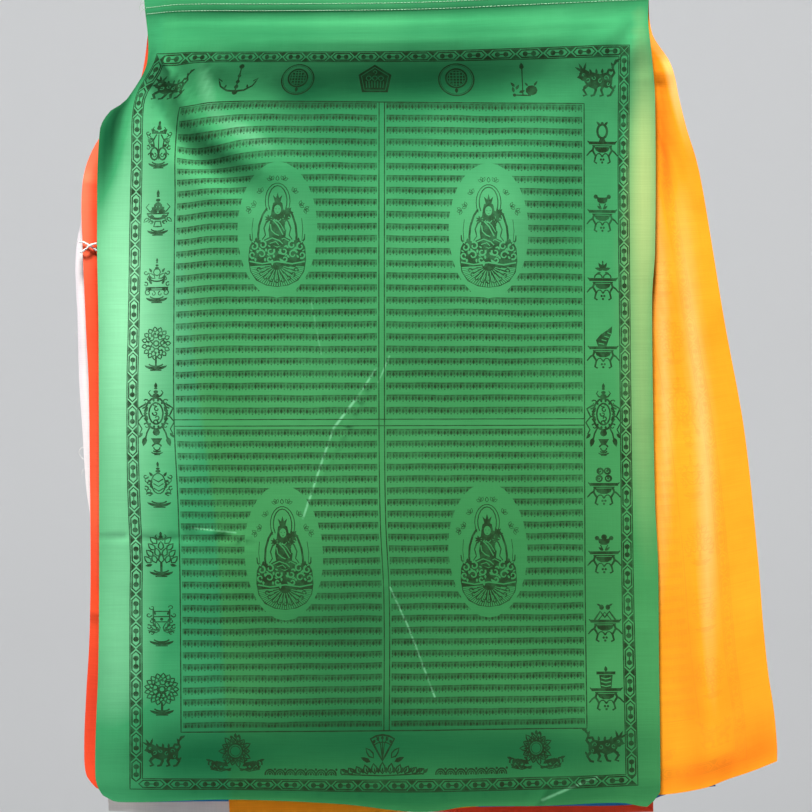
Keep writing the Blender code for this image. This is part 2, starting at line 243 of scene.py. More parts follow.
def smooth(positions, values, at):
    """Values at `at` on smooth curves through the positions. values has one row, or a row for each point."""
    p = np.asarray(positions, float)
    v = np.broadcast_to(np.asarray(values, float), (len(at), len(p)))
    low, high = np.maximum(np.arange(len(p)) - 1, 0), np.minimum(np.arange(len(p)) + 1, len(p) - 1)
    slopes = (v[:, high] - v[:, low]) / (p[high] - p[low])
    i = np.clip(np.searchsorted(p, at, side="right") - 1, 0, len(p) - 2)
    n = np.arange(len(at))
    span = p[i + 1] - p[i]
    k = np.clip((at - p[i]) / span, 0, 1)
    return (
        v[n, i] * (2 * k**3 - 3 * k**2 + 1)
        + v[n, i + 1] * (3 * k**2 - 2 * k**3)
        + span * slopes[n, i] * (k**3 - 2 * k**2 + k)
        + span * slopes[n, i + 1] * (k**3 - k**2)
    )


def along(table, at):
    """A table of (position, value) rows read at `at`."""
    return smooth(*zip(*table), at)


def through_lines(lines, at, position):
    """Across or down the cloth: each line's table is read at `at`, then the point between the lines."""
    return smooth([line[0] for line in lines], np.stack([along(line[1], at) for line in lines], 1), position)


def eased(k):
    k = np.clip(k, 0, 1)
    return k * k * (3 - 2 * k)


def rise_of(folds, x, z):
    """How far the folds bring the cloth forward."""
    rise = np.zeros_like(x)
    for f in folds:
        run_x, run_z = f.x_to - f.x_from, f.z_to - f.z_from
        k = np.clip(((x - f.x_from) * run_x + (z - f.z_from) * run_z) / (run_x**2 + run_z**2), 0, 1)
        away = np.hypot(x - f.x_from - k * run_x, z - f.z_from - k * run_z)
        half = f.half_from + k * (f.half_to - f.half_from)
        rise += (f.rise_from + k * (f.rise_to - f.rise_from)) * np.exp(-((away / half) ** 2))
    return rise


def finer_run(route, spacing):
    """Points at about that spacing on a smooth curve through the route's own points."""
    route = np.array(route, float)
    stations = np.concatenate([[0.0], np.cumsum(np.linalg.norm(np.diff(route, axis=0), axis=1))])
    at = np.linspace(0, stations[-1], ceil(stations[-1] / spacing) + 1)
    return np.stack([smooth(stations, column, at) for column in route.T], 1)


def creased(creases, x, z):
    """The same for creases, each a smooth curve through its stations, where its strongest stretch counts."""
    rise = np.zeros_like(x)
    for stations in creases:
        strongest = np.zeros_like(x)
        finer = finer_run(stations, CREASE_STEP)
        for (x0, z0, half0, rise0), (x1, z1, half1, rise1) in zip(finer, finer[1:]):
            reach = CREASE_REACH * max(half0, half1) + CREASE_STEP / 2
            near = (abs(x - (x0 + x1) / 2) < reach) & (abs(z - (z0 + z1) / 2) < reach)
            here = rise_of([Fold(x0, z0, x1, z1, half0, half1, rise0, rise1)], x[near], z[near])
            strongest[near] = np.where(abs(here) > abs(strongest[near]), here, strongest[near])
        rise += strongest
    return rise


def hang(flag, s, t):
    """Where the points at s across and t down the flat cloth hang, as rows of x, y, z."""
    s, t = np.asarray(s, float), np.asarray(t, float)
    across = s if flag.printed_front else CLOTH_WIDE - s
    x, z = across - CLOTH_WIDE / 2, -t
    for _ in range(3):
        z = through_lines(flag.down_lines, x, t)
        x = through_lines(flag.across_lines, z, across)
    for pull in flag.pulls:
        near = np.exp(-(((x - pull.x) / pull.half_x) ** 2) - ((z - pull.z) / pull.half_z) ** 2)
        x, z = x + near * pull.move_x, z + near * pull.move_z
    return np.stack([x, depth_at(flag, x, z), z], 1)


def depth_at(flag, x, z):
    """How far back the flag hangs at x and z."""
    below = along(HEADING_LINE, x) - z
    step = STEP_AT_HEADING + (STEP_AT_HEM - STEP_AT_HEADING) * eased(below / FLAG_DROP)
    grown = eased((below - HEADING_BAND) / FOLD_START)
    rise = grown * (rise_of(SHARED_FOLDS, x, z) + rise_of(flag.folds, x, z))
    rise += creased(STACK_CREASES, x, z) + creased(flag.creases, x, z)
    return flag.layer * step - rise


# One carved wooden block prints all five flags. Its raised lines are polygons on the flat cloth, in mm
# from the cloth's left edge and its heading: a beaded border, framed rows of ornament, four seated
# figures, two columns of offerings and a row of emblems at either end.
BORDER_OUT = (31, 62, 534, 807)
BORDER_IN = (42, 73, 523, 796)
ROW_FRAME = (77, 119, 487, 749)
BAR_ACROSS, BAR_DOWN = (281.5, 287.0), (437.0, 443.5)
LINE_WIDE = 0.9
LONGEST_RUN = 7.0
BEAD_PITCH = 27.6
BLANK_HALF_WIDE, BLANK_HALF_TALL, BLANK_RISE = 40.0, 68.0, 4.0
FIGURE_PLACES = ((180, 252), (391, 252), (182, 574), (389, 573))
COLUMN_LEFT, COLUMN_RIGHT = 59.5, 506.0
COLUMN_TOP, COLUMN_PITCH, COLUMN_COUNT = 157.0, 69.0, 9
TOP_ROW, BOTTOM_ROW = 94.0, 768.0


class Block:
    """The raised shapes of the block, drawn from a spot that can be moved, with v upwards.

    A "cut" takes the ink away again, and "over" prints on top of a cut.
    """

    def __init__(self):
        self.shapes = []
        self.kind = "ink"
        self.move(0, 0)

    def move(self, s, t, size=1.0, mirrored=False):
        self.s, self.t, self.size = s, t, size
        self.way = -1 if mirrored else 1

    def finely(self, points, closed):
        """The same run of points, with more between those that lie far apart."""
        finer = []
        for a, b in zip(points, [*points[1:], points[0]] if closed else points[1:]):
            parts = ceil(hypot(b[0] - a[0], b[1] - a[1]) * self.size / LONGEST_RUN)
            finer += [
                (a[0] + (b[0] - a[0]) * k / parts, a[1] + (b[1] - a[1]) * k / parts) for k in range(parts)
            ]
        return finer if closed else [*finer, points[-1]]

    def shape(self, points, kind=None):
        """Keeps one polygon, with its corners in the same turning sense as every other."""
        corners = [(self.s + self.way * self.size * u, self.t - self.size * v) for u, v in points]
        twice_area = sum(a[0] * b[1] - b[0] * a[1] for a, b in zip(corners, corners[1:] + corners[:1]))
        if abs(twice_area) > 1e-6:
            self.shapes.append((kind or self.kind, corners if twice_area > 0 else corners[::-1]))

    def line(self, points, wide=LINE_WIDE, wide_to=None, closed=False):
        """A ribbon along the points, which may taper to wide_to."""
        points = self.finely(points, closed)
        count = len(points)
        wide_to = wide if wide_to is None else wide_to
        left, right = [], []
        for i, (u, v) in enumerate(points):
            before = points[i - 1] if i or closed else points[i]
            after = points[(i + 1) % count] if i + 1 < count or closed else points[i]
            run_u, run_v = after[0] - before[0], after[1] - before[1]
            long = hypot(run_u, run_v) or 1.0
            half = (wide + (wide_to - wide) * i / max(count - 1, 1)) / 2 / self.size
            left.append((u - run_v / long * half, v + run_u / long * half))
            right.append((u + run_v / long * half, v - run_u / long * half))
        for i in range(count if closed else count - 1):
            j = (i + 1) % count
            self.shape((left[i], left[j], right[j], right[i]))

    def box(self, s0, t0, s1, t1, wide=LINE_WIDE):
        self.line(((s0, -t0), (s1, -t0), (s1, -t1), (s0, -t1)), wide * 1.2, closed=True)

    def arc(self, u, v, radius, start=0, end=360, wide=LINE_WIDE, wide_to=None, tall=1.0, parts=None):
        """Part of an ellipse, in degrees from the right and upwards. A whole turn is closed."""
        whole = abs(end - start) >= 360
        parts = parts or max(4, ceil(abs(end - start) * radius * self.size / 260) + 3)
        angles = [radians(start + (end - start) * k / parts) for k in range(parts + (not whole))]
        self.line([(u + radius * cos(a), v + radius * tall * sin(a)) for a in angles], wide, wide_to, whole)

    def dot(self, u, v, radius, sides=7, tall=1.0):
        angles = [2 * pi * k / sides for k in range(sides)]
        self.shape([(u + radius * cos(a), v + radius * tall * sin(a)) for a in angles])

    def leaf(self, u, v, towards, long, wide, outline=None):
        """A pointed leaf from (u, v), solid, or drawn as an outline that wide."""
        ahead = (cos(radians(towards)), sin(radians(towards)))
        sides = ((0.0, 0.0), (0.3, 0.5), (0.65, 0.42), (1.0, 0.0), (0.65, -0.42), (0.3, -0.5))
        points = [
            (u + a * long * ahead[0] - b * wide * ahead[1], v + a * long * ahead[1] + b * wide * ahead[0])
            for a, b in sides
        ]
        if outline:
            self.line(points, outline, closed=True)
        else:
            self.shape(points)

    def curl(self, u, v, radius, start, turn=300, wide=1.0):
        """A small scroll that winds in from its rim."""
        parts = 8
        points = []
        for k in range(parts + 1):
            angle = radians(start + turn * k / parts)
            r = radius * (1 - 0.62 * k / parts)
            points.append((u + r * cos(angle), v + r * sin(angle)))
        self.line(points, wide, wide * 0.6)


def border(block):
    block.move(0, 0)
    for edge in (BORDER_OUT, BORDER_IN):
        block.box(*edge)
    middle = [(a + b) / 2 for a, b in zip(BORDER_OUT, BORDER_IN)]
    s0, t0, s1, t1 = middle
    for along_s, runs in ((False, ((s0, t0, t1), (s1, t0, t1))), (True, ((t0, s0, s1), (t1, s0, s1)))):
        for fixed, low, high in runs:
            count = round((high - low) / BEAD_PITCH)
            pitch = (high - low) / count
            for k in range(count):
                station = low + (k + 0.5) * pitch
                bead(block, station if along_s else fixed, fixed if along_s else station, along_s, pitch)


def bead(block, s, t, along_s, pitch):
    """A long pointed hexagon with two dark beads, and a pair of arrowheads before the next one."""
    block.move(s, t)

    def place(a, b):
        return (a, b) if along_s else (b, a)

    ends, shoulder, half = pitch * 0.41, pitch * 0.28, 3.7
    outline = (
        (-ends, 0), (-shoulder, half), (shoulder, half), (ends, 0), (shoulder, -half), (-shoulder, -half),
    )
    block.line([place(a, b) for a, b in outline], 1.5, closed=True)
    for a in (-pitch * 0.15, pitch * 0.15):
        block.dot(*place(a, 0), 2.7, 8)
    block.line([place(-pitch * 0.15, 0), place(pitch * 0.15, 0)], 1.0)
    for b in (-3.7, 3.7):
        arrowhead = ((pitch / 2 - 4.6, b * 1.3), (pitch / 2 + 4.6, b * 1.3), (pitch / 2, b * 0.1))
        block.shape([place(*corner) for corner in arrowhead])


def rows_frame(block):
    block.move(0, 0)
    s0, t0, s1, t1 = ROW_FRAME
    block.box(s0, t0, s1, t1, 1.0)
    for s in BAR_ACROSS:
        block.line(((s, -t0), (s, -t1)), 1.1)
    for t in BAR_DOWN:
        block.line(((s0, -t), (s1, -t)), 1.0)
    for left, right in ((s0, BAR_ACROSS[0]), (BAR_ACROSS[1], s1)):
        for top, low in ((t0, BAR_DOWN[0]), (BAR_DOWN[1], t1)):
            corners = ((left + 2, top + 1), (right - 2, top + 1), (right - 2, low - 4), (left + 2, low - 4))
            block.shape(block.finely([(s, -t) for s, t in corners], True), "rows")
    for s, t in FIGURE_PLACES:
        angles = [2 * pi * k / 28 for k in range(28)]
        oval = [(s + BLANK_HALF_WIDE * cos(a), BLANK_RISE - t + BLANK_HALF_TALL * sin(a)) for a in angles]
        block.shape(oval, "blank")


def halo(block):
    """A narrow double arch round the head, a thick one round the body, and faint sprigs outside."""
    for half, wide in ((12.4, 0.9), (9.4, 1.1)):
        block.arc(0, 32, half, -34, 214, wide, tall=0.85 + 7.5 / half)
    block.leaf(0, 52.5, 90, 5.0, 3.0, 0.8)
    for side in (False, True):
        block.way = -1 if side else 1
        block.line(((10.6, 25), (14.8, 18.5), (18.2, 8), (19.2, -2), (18.8, -9)), 2.1)
        block.line(((24.2, 15), (25.4, 4), (24.6, -7)), 0.6)
        for u, v, lean in ((16, 41, 50), (22, 28, 20), (27, 24, -20), (6, 53, 70)):
            for spread in (-48, 0, 48):
                block.leaf(u, v, lean + spread, 5.0, 2.6, 0.6)
    block.way = 1


def figure(block, s, t):
    """A calm seated figure of a traditional kind, in a halo, over a round bank of scrolled clouds."""
    block.move(s, t)
    halo(block)
    # Dark hair and robe, with blossoms at the shoulders
    block.shape(((-2.6, 30), (-4.7, 38), (-1.5, 35), (0, 40.6), (1.5, 35), (4.7, 38), (2.6, 30)))
    block.shape((
        (0, 33), (4.7, 30), (5.8, 24), (6.8, 17), (4.4, 14), (-4.4, 14), (-6.8, 17), (-5.8, 24), (-4.7, 30),
    ))
    block.shape((
        (-4, 16), (-7.6, 11), (-9.0, 3), (-8.0, -4), (-13.4, -6.6), (-12.4, -10), (0, -13.4), (12.4, -10),
        (13.4, -6.6), (8.0, -4), (9.0, 3), (7.6, 11), (4, 16),
    ))
    for u, v, radius in ((9.6, 20.6, 6.0), (8.4, 14.4, 4.0), (-8.8, 14.6, 4.0)):
        block.dot(u, v, radius * 0.34)
        for k in range(7):
            block.leaf(u, v, 51 * k, radius * 1.1, radius * 0.46)
    # Face, sash, arms and the folds of the lap are left light
    block.kind = "cut"
    block.dot(0, 23.6, 3.5, 12, 1.35)
    block.arc(0, 15.4, 3.6, 200, 340, 0.8)
    block.line(((-4.6, 13.2), (0.4, 8.0), (5.6, -1.6)), 1.2)
    block.line(((-1.6, 13.6), (3.2, 9.0), (7.0, 2.2)), 0.8)
    block.line(((-7.0, 9.0), (-6.2, 3.0), (-2.4, -0.6), (1.6, -2.4)), 1.1)
    block.line(((7.6, 8.6), (8.4, 3.4)), 0.8)
    block.line(((-11.8, -7.8), (-5.0, -4.8), (2.0, -7.4), (5.4, -10.6)), 1.1)
    block.line(((11.8, -7.8), (6.6, -5.0), (4.4, -6.0)), 1.0)
    block.line(((-7.6, -10.2), (-1.6, -8.4), (1.4, -11.6)), 0.9)
    block.kind = "over"
    for side in (-1, 1):
        block.line(((side * 0.9, 24.2), (side * 2.4, 24.2)), 0.5)
    block.line(((-0.8, 20.9), (0.8, 20.9)), 0.5)
    block.kind = "ink"
    for side in (False, True):
        block.way = -1 if side else 1
        block.line(((10.6, 12.0), (13.4, 5.0), (11.8, -2.0), (15.4, -7.0)), 1.6, 1.0)
        block.line(((24.2, -9), (27.0, -6.0), (27.4, -0.8)), 2.2, 0.9)
        block.leaf(21.4, -8.6, 96, 4.6, 2.4)
    block.way = 1
    # The bank: light scrolls on dark above a light wave, and light rays below it
    block.shape((
        (-25, -8), (-28, -14), (-28.8, -27), (-27, -38), (-21, -47), (-11, -52), (0, -53.4), (11, -52),
        (21, -47), (27, -38), (28.8, -27), (28, -14), (25, -8), (15, -6.6), (9, -10), (0, -14.4), (-9, -10),
        (-15, -6.6),
    ))
    block.kind = "cut"
    for u, v, radius, start in (
        (14.6, -11.6, 4.2, 60), (23.0, -13.2, 3.9, 100), (6.6, -17.8, 4.0, 150), (15.8, -20.8, 4.6, 20),
        (24.6, -21.6, 3.6, 240), (7.4, -25.6, 3.2, 200),
    ):
        block.curl(u, v, radius, start, 330, 2.0)
        block.curl(-u, v, radius, 180 - start, -330, 2.0)
        for side in (-1, 1):
            block.leaf(side * (u - radius * 0.8), v - radius * 0.8, 20 + side * 110, 4.0, 2.2)
            block.leaf(side * u, v + radius, 90 - side * 60, 3.6, 1.6)
    block.line(((-27.6, -28), (-15, -30.4), (0, -28.2), (15, -30.4), (27.6, -28)), 1.4)
    for k in range(33):
        angle = radians(186 + 168 * k / 32)
        inner, outer = (6.5 + 6.0 * (k % 3), 5.0 + 5.0 * (k % 3)), (27.0, 21.0)
        points = [(half * cos(angle), -31.6 + tall * sin(angle)) for half, tall in (inner, outer)]
        block.line(points, 0.7, 1.5)
    block.kind = "over"
    for k in range(9):
        angle = radians(198 + 18 * k)
        block.curl(19.5 * cos(angle), -31.6 + 15.5 * sin(angle), 2.6, 40 * k, 300, 1.3)
    block.kind = "ink"


def dish(block, v, half, deep):
    """A shallow footed dish whose rim is at v."""
    block.line(((-half, v), (half, v)), 1.6)
    block.arc(0, v, half * 0.92, 190, 350, 1.5, tall=deep / half)
    block.line(((-half * 0.3, v - deep - 1.6), (half * 0.3, v - deep - 1.6)), 1.5)


def flames(block, v, tall, count=5):
    """Pointed tongues that lean out from the middle."""
    for k in range(count):
        lean = 2 * k / (count - 1) - 1
        block.leaf(lean * 3.4, v, 90 - lean * 30, tall * (1 - 0.42 * abs(lean)), 3.0)


def jewels(block, v, size):
    for row, count in enumerate((4, 3, 2)):
        for k in range(count):
            block.dot((k - (count - 1) / 2) * size * 2.1, v + row * size * 1.7, size * 0.85, 6)


def horns(block, v, half, tall):
    """A pair of curved horns that open upwards."""
    for side in (False, True):
        block.way = -1 if side else 1
        horn = ((1.0, v), (half * 0.7, v + tall * 0.2), (half, v + tall * 0.65), (half * 0.75, v + tall))
        block.line(horn, 2.0, 0.8)
    block.way = 1


def spire(block, v, tall, half=3.0):
    """A stack of dark knops that ends in a point."""
    for k in range(3):
        block.dot(0, v + tall * (0.12 + 0.24 * k), half * (1 - 0.24 * k), 8, 0.7)
    block.leaf(0, v + tall * 0.6, 90, tall * 0.4, half)


def boat(block, v, half):
    """A foot like a shallow boat."""
    keel, deck = (180, 204, 232, 270, 308, 336, 360), (340, 300, 270, 240, 200)
    block.shape([
        *((half * cos(radians(a)), v + half * 0.44 * sin(radians(a))) for a in keel),
        *((half * 0.8 * cos(radians(a)), v + half * 0.16 * sin(radians(a))) for a in deck),
    ])
    block.arc(0, v + 1.6, half * 0.62, 188, 352, 1.5, tall=0.4)
    block.line(((-half * 0.5, v - half * 0.46), (half * 0.5, v - half * 0.46)), 1.3)


def foliage(block, v, half, tall, count=4):
    """Curls and leaves that climb on either side of the middle."""
    for side in (False, True):
        block.way = -1 if side else 1
        for k in range(count):
            share = (k + 0.5) / count
            block.curl(half * (0.72 + 0.22 * (k % 2)), v + tall * share, 2.5, 60 * k, 320, 1.4)
            block.leaf(half * 0.42, v + tall * share, 30 + 26 * (k % 2), half * 0.46, 2.6)
    block.way = 1


def round_of(block, v, half, tall, petals, curls):
    """A round head of curls in a ring of leaves."""
    for k in range(petals):
        angle = 360 * k / petals
        u, w = cos(radians(angle)), sin(radians(angle))
        block.leaf(half * 0.70 * u, v + tall * 0.70 * w, angle, half * 0.36, 4.0, 1.4)
        block.leaf(half * 0.48 * u, v + tall * 0.48 * w, angle + 12, half * 0.26, 2.4)
    for k in range(curls):
        angle = radians(360 * k / curls)
        block.curl(half * 0.46 * cos(angle), v + tall * 0.46 * sin(angle), half * 0.24, 57 * k, 320, 1.6)
    block.arc(0, v, half * 0.2, wide=1.8, parts=8)


def ornate(block):
    """The tall middle emblem: a spire over a pointed oval with ribbons and tassels, and a small urn below."""
    spire(block, 19, 15, 3.2)
    horns(block, 19.0, 7.0, 7.0)
    block.arc(0, 2.5, 10.6, wide=2.0, tall=1.5, parts=16)
    block.arc(0, 2.5, 6.8, wide=1.7, tall=1.6, parts=14)
    for k in range(14):
        angle = 360 * k / 14
        block.leaf(8.0 * cos(radians(angle)), 2.5 + 12.0 * sin(radians(angle)), angle, 4.4, 2.4)
    for k in range(5):
        block.curl(1.6 * (k % 2) - 0.8, 11.4 - 4.4 * k, 2.7, 80 * k, 320, 1.6)
    for side in (False, True):
        block.way = -1 if side else 1
        for v in (14, 6, -2, -10):
            block.curl(10.6 - 0.1 * (v - 2) ** 2 / 10, v, 3.0, 30, 320, 1.5)
        block.line(((10, 12), (16.6, 8), (13.0, 0), (17.6, -6), (13.6, -13), (16, -18)), 1.9, 1.1)
        block.line(((6, -11), (9, -17), (10.6, -24)), 1.6)
        block.leaf(10.4, -21, -76, 10.0, 4.8)
        block.leaf(13.0, -17, -50, 7.0, 3.0)
    block.way = 1
    block.dot(0, -16.5, 3.6, 8)
    block.shape(((-5.4, -22.5), (5.4, -22.5), (2.4, -28.0), (-2.4, -28.0)))
    block.arc(0, -32.4, 4.6, 20, 160, 1.6)
    block.arc(0, -31.6, 3.0, 180, 360, 1.3)
    block.dot(0, -35.6, 1.6)
    boat(block, -36.4, 5.6)


def stand_emblem(block, s, t, kind):
    """One of the left column's offerings, in finer lines, most of them on a foot like a boat."""
    block.move(s, t)
    if kind == 4:
        ornate(block)
        return
    boat(block, -17.6, 11.0)
    if kind in (0, 2, 5, 7):
        foliage(block, -13.0, 12.0, 24.0 if kind else 30.0, 4)
    if kind == 0:
        spire(block, 17, 9, 2.6)
        horns(block, 14.4, 6.4, 5.4)
        block.line(((-7.4, 13.4), (7.4, 13.4)), 1.8)
        for side in (-1, 1):
            block.arc(side * 4.4, -8.0, 4.2, wide=1.9, tall=1.5, parts=12)
            block.curl(side * 4.4, -9.6, 2.4, 90, side * 320, 1.2)
            block.line(((side * 2.2, 12), (side * 5.6, 6), (side * 4.6, -1.6)), 1.5)
            for k in range(3):
                block.leaf(side * 8.2, 8 - 5 * k, 90 - side * (50 - 14 * k), 5.4, 2.4, 0.9)
        block.line(((0, 12), (0, -14)), 1.2)
    elif kind == 1:
        spire(block, 7, 17, 3.2)
        horns(block, -0.4, 12.4, 10.0)
        jewels(block, 1.6, 2.0)
        flames(block, 1.0, 11.0, 5)
        dish(block, -0.6, 11.6, 6.4)
        foliage(block, -12.0, 9.6, 9.0, 2)
        block.arc(0, -1.6, 7.4, 186, 354, 2.4, tall=0.6)
        for side in (-1, 1):
            block.leaf(side * 9.6, -5.0, 90 - side * 130, 6.4, 3.0, 1.1)
        block.line(((-2.6, -8.4), (-4.0, -14), (4.0, -14), (2.6, -8.4)), 1.5)
    elif kind == 2:
        spire(block, 11, 12, 2.2)
        block.arc(0, 8.4, 3.6, wide=1.3)
        for side in (-1, 1):
            block.leaf(side * 2.0, 2.0, 90 - side * 50, 8.4, 3.6, 1.2)
            block.curl(side * 9.0, -12.6, 3.4, 90, -side * 320, 1.3)
            block.curl(side * 3.4, -13.6, 2.4, 90, side * 320, 1.1)
        block.arc(0, 4.4, 9.0, 200, 340, 1.5, tall=0.6)
        block.line(((-11.6, -7.6), (11.6, -7.6)), 1.7)
        block.line(((-9.0, -9.8), (9.0, -9.8)), 1.1)
    elif kind == 3:
        round_of(block, 4.6, 13.6, 17.0, 15, 8)
        block.line(((0, -8), (0, -18)), 1.8)
    elif kind == 5:
        spire(block, 12, 11, 2.4)
        block.arc(0, 1.0, 6.4, wide=1.2, tall=1.6, parts=14)
        for k in range(3):
            block.line(((-4.6, 5.6 - 4.6 * k), (0, 2.6 - 4.6 * k), (4.6, 5.6 - 4.6 * k)), 1.2)
        for side in (-1, 1):
            block.curl(side * 9.6, 4.0, 3.0, 90, -side * 320, 1.1)
            block.curl(side * 8.6, -6.6, 2.8, 270, side * 320, 1.1)
    elif kind == 6:
        for row, count in enumerate((5, 4, 3, 2)):
            for k in range(count):
                lean = 2 * k / (count - 1) - 1
                block.leaf(lean * (9.4 - 1.9 * row), -9 + 6.4 * row, 90 - 44 * lean, 8.4, 4.8, 1.5)
        spire(block, 14, 8, 2.6)
        horns(block, 13.6, 5.0, 5.6)
        for side in (-1, 1):
            block.leaf(side * 8, -11, 90 - side * 100, 7.0, 3.0)
        block.line(((0, -8), (0, -18)), 2.2)
    elif kind == 7:
        for side in (-1, 1):
            block.line(((side * 7.4, 14), (side * 7.4, 1)), 1.4)
            block.curl(side * 8.6, 15.4, 2.4, 180, -side * 300, 1.1)
            for k in range(3):
                block.leaf(side * 2.0, -8, 90 - side * (20 + 34 * k), 10.0, 3.4, 1.0)
        for v in (11.6, 6.4, 1.2):
            block.line(((-7.4, v), (7.4, v)), 1.1)
        block.dot(0, 3.8, 1.6)
    else:
        round_of(block, 3.0, 14.6, 15.4, 17, 9)
        block.line(((0, -10), (0, -18)), 2.0)


def on_table(block, kind):
    """What stands on the right column's tables: mirror, cup, leaves, shell, jewels, peaks or canopy."""
    if kind == 0:
        block.arc(0, 12.4, 5.2, wide=2.5, tall=1.35, parts=14)
        block.shape(((-3.8, 2.0), (3.8, 2.0), (2.0, 6.0), (-2.0, 6.0)))
        block.dot(0, 20.4, 1.7)
        for side in (-1, 1):
            block.leaf(side * 2.6, 18.6, 90 - side * 44, 5.0, 2.6)
    elif kind in (1, 6):
        block.shape((
            (-6.4, 15.6), (-3.0, 14.6), (3.0, 14.6), (6.4, 15.6),
            (5.0, 10.4), (2.4, 8.6), (-2.4, 8.6), (-5.0, 10.4),
        ))
        for side in (-1, 1):
            block.dot(side * 7.0, 15.4, 2.3, 8)
            block.line(((side * 3.6, 8.6), (side * 0.9, 3.0)), 1.1)
            block.leaf(side * 0.9, 2.6, 90 - side * 52, 6.0, 2.6)
        if kind == 6:
            block.dot(0, 16.4, 3.0, 8)
    elif kind == 2:
        for side in (-1, 1):
            block.leaf(0, 10, 90 - side * 30, 9.0, 3.2)
            block.leaf(0, 10, 90 - side * 74, 8.6, 3.4)
            block.leaf(side * 2, 8, 90 - side * 112, 5.6, 2.6)
            block.arc(side * 4.6, 2.4, 4.0, 0, 180, 1.4)
        spire(block, 13.0, 7.0, 1.8)
    elif kind == 3:
        block.shape((
            (-5.4, 2.2), (-7.4, 8.4), (-2.4, 14.2), (4.4, 18.6),
            (9.4, 22.6), (8.8, 15.6), (5.4, 8.0), (3.4, 2.2),
        ))
        block.kind = "cut"
        for k in range(4):
            block.line(((-4.6 + 3.0 * k, 5.2 + 3.6 * k), (1.0 + 2.4 * k, 4.2 + 3.4 * k)), 0.9)
        block.kind = "ink"
    elif kind == 5:
        for u, v in ((-4.6, 6.6), (4.6, 6.6), (-3.6, 14.0), (3.6, 14.0)):
            block.dot(u, v, 3.8, 9)
            block.kind = "cut"
            block.curl(u, v, 2.0, 30 * u, 300, 0.9)
            block.kind = "ink"
    elif kind == 7:
        block.line(((-10, 2), (-4.4, 10.4), (0, 4.4), (4.4, 10.4), (10, 2)), 1.7)
        block.line(((-6, 2), (0, 9.6), (6, 2)), 1.1)
        for side in (-1, 1):
            block.dot(side * 3.0, 14.6, 2.4, 7, 1.2)
            block.leaf(side * 4.0, 16.0, 90 - side * 60, 4.4, 2.0)
    else:
        block.shape(((-6.4, 15.4), (6.4, 15.4), (5.0, 2.2), (-5.0, 2.2)))
        block.line(((-9, 17.4), (9, 17.4)), 3.0)
        block.leaf(0, 18.6, 90, 6.0, 3.2)
        block.kind = "cut"
        for v in (12.6, 8.8, 5.0):
            block.line(((-4.6, v), (0, v - 1.2), (4.6, v)), 1.1)
        block.kind = "ink"


def table_emblem(block, s, t, kind):
    """One of the right column's offerings, on a low table with splayed arms and bowed legs."""
    block.move(s, t)
    if kind == 4:
        ornate(block)
        return
    on_table(block, kind)
    block.line(((-14, 0.6), (14, 0.6)), 3.0)
    block.line(((-10.6, -2.2), (10.6, -2.2)), 1.2)
    block.shape(((-8.4, -3.4), (8.4, -3.4), (6.8, -7.0), (3.0, -9.0), (-3.0, -9.0), (-6.8, -7.0)))
    for side in (False, True):
        block.way = -1 if side else 1
        block.line(((8.6, -2.2), (10.2, -7.0), (7.0, -12.6), (8.4, -18.4), (5.6, -20.0)), 2.4, 1.7)
        block.line(((9.6, -6.4), (13.0, -8.4), (16.4, -12.4)), 2.3, 1.2)
        block.line(((13.4, 0.6), (15.6, 2.6)), 1.8, 1.0)
        block.arc(3.6, -12.8, 2.8, 0, 180, 1.2)
    block.way = 1
    for u, v in ((0, -12.6), (-1.4, -16.0), (1.4, -16.0), (0, -19.0)):
        block.dot(u, v, 1.3, 6)


def medallion(block, s, t):
    """A thin ring round a dark latticed disc, with a drop below it."""
    block.move(s, t)
    block.arc(0, 0, 17.6, wide=1.4, parts=30)
    block.arc(0, 0, 16.0, wide=0.5, parts=30)
    block.dot(0, 1.6, 11.4, 22)
    block.leaf(0, -9.4, -90, 5.6, 3.4)
    block.kind = "cut"
    block.arc(0, 1.6, 9.2, wide=0.7, parts=18)
    for k in range(5):
        offset = 3.2 * (k - 2)
        reach = (8.4**2 - offset**2) ** 0.5
        block.line(((-reach, 1.6 + offset), (reach, 1.6 + offset)), 0.8)
        block.line(((offset, 1.6 - reach), (offset, 1.6 + reach)), 0.8)
    block.kind = "ink"


def pentagon(block, s, t):
    """A dark five-sided shield with light bars and scallops."""
    block.move(s, t)
    block.shape(((0, 17.6), (17.4, 5.6), (13.4, -14.6), (-13.4, -14.6), (-17.4, 5.6)))
    block.kind = "cut"
    block.line(((0, 14.4), (14.2, 4.4), (11.0, -12.2), (-11.0, -12.2), (-14.2, 4.4)), 0.8, closed=True)
    for k in range(-3, 4):
        block.line(((k * 2.8, -9.6), (k * 3.1, -2.0)), 0.9)
    for k in range(-1, 2):
        block.arc(k * 6.4, 1.6, 2.6, 0, 360, 0.9, parts=9)
    block.curl(0, 9.0, 2.6, 270, 320, 0.9)
    block.kind = "ink"


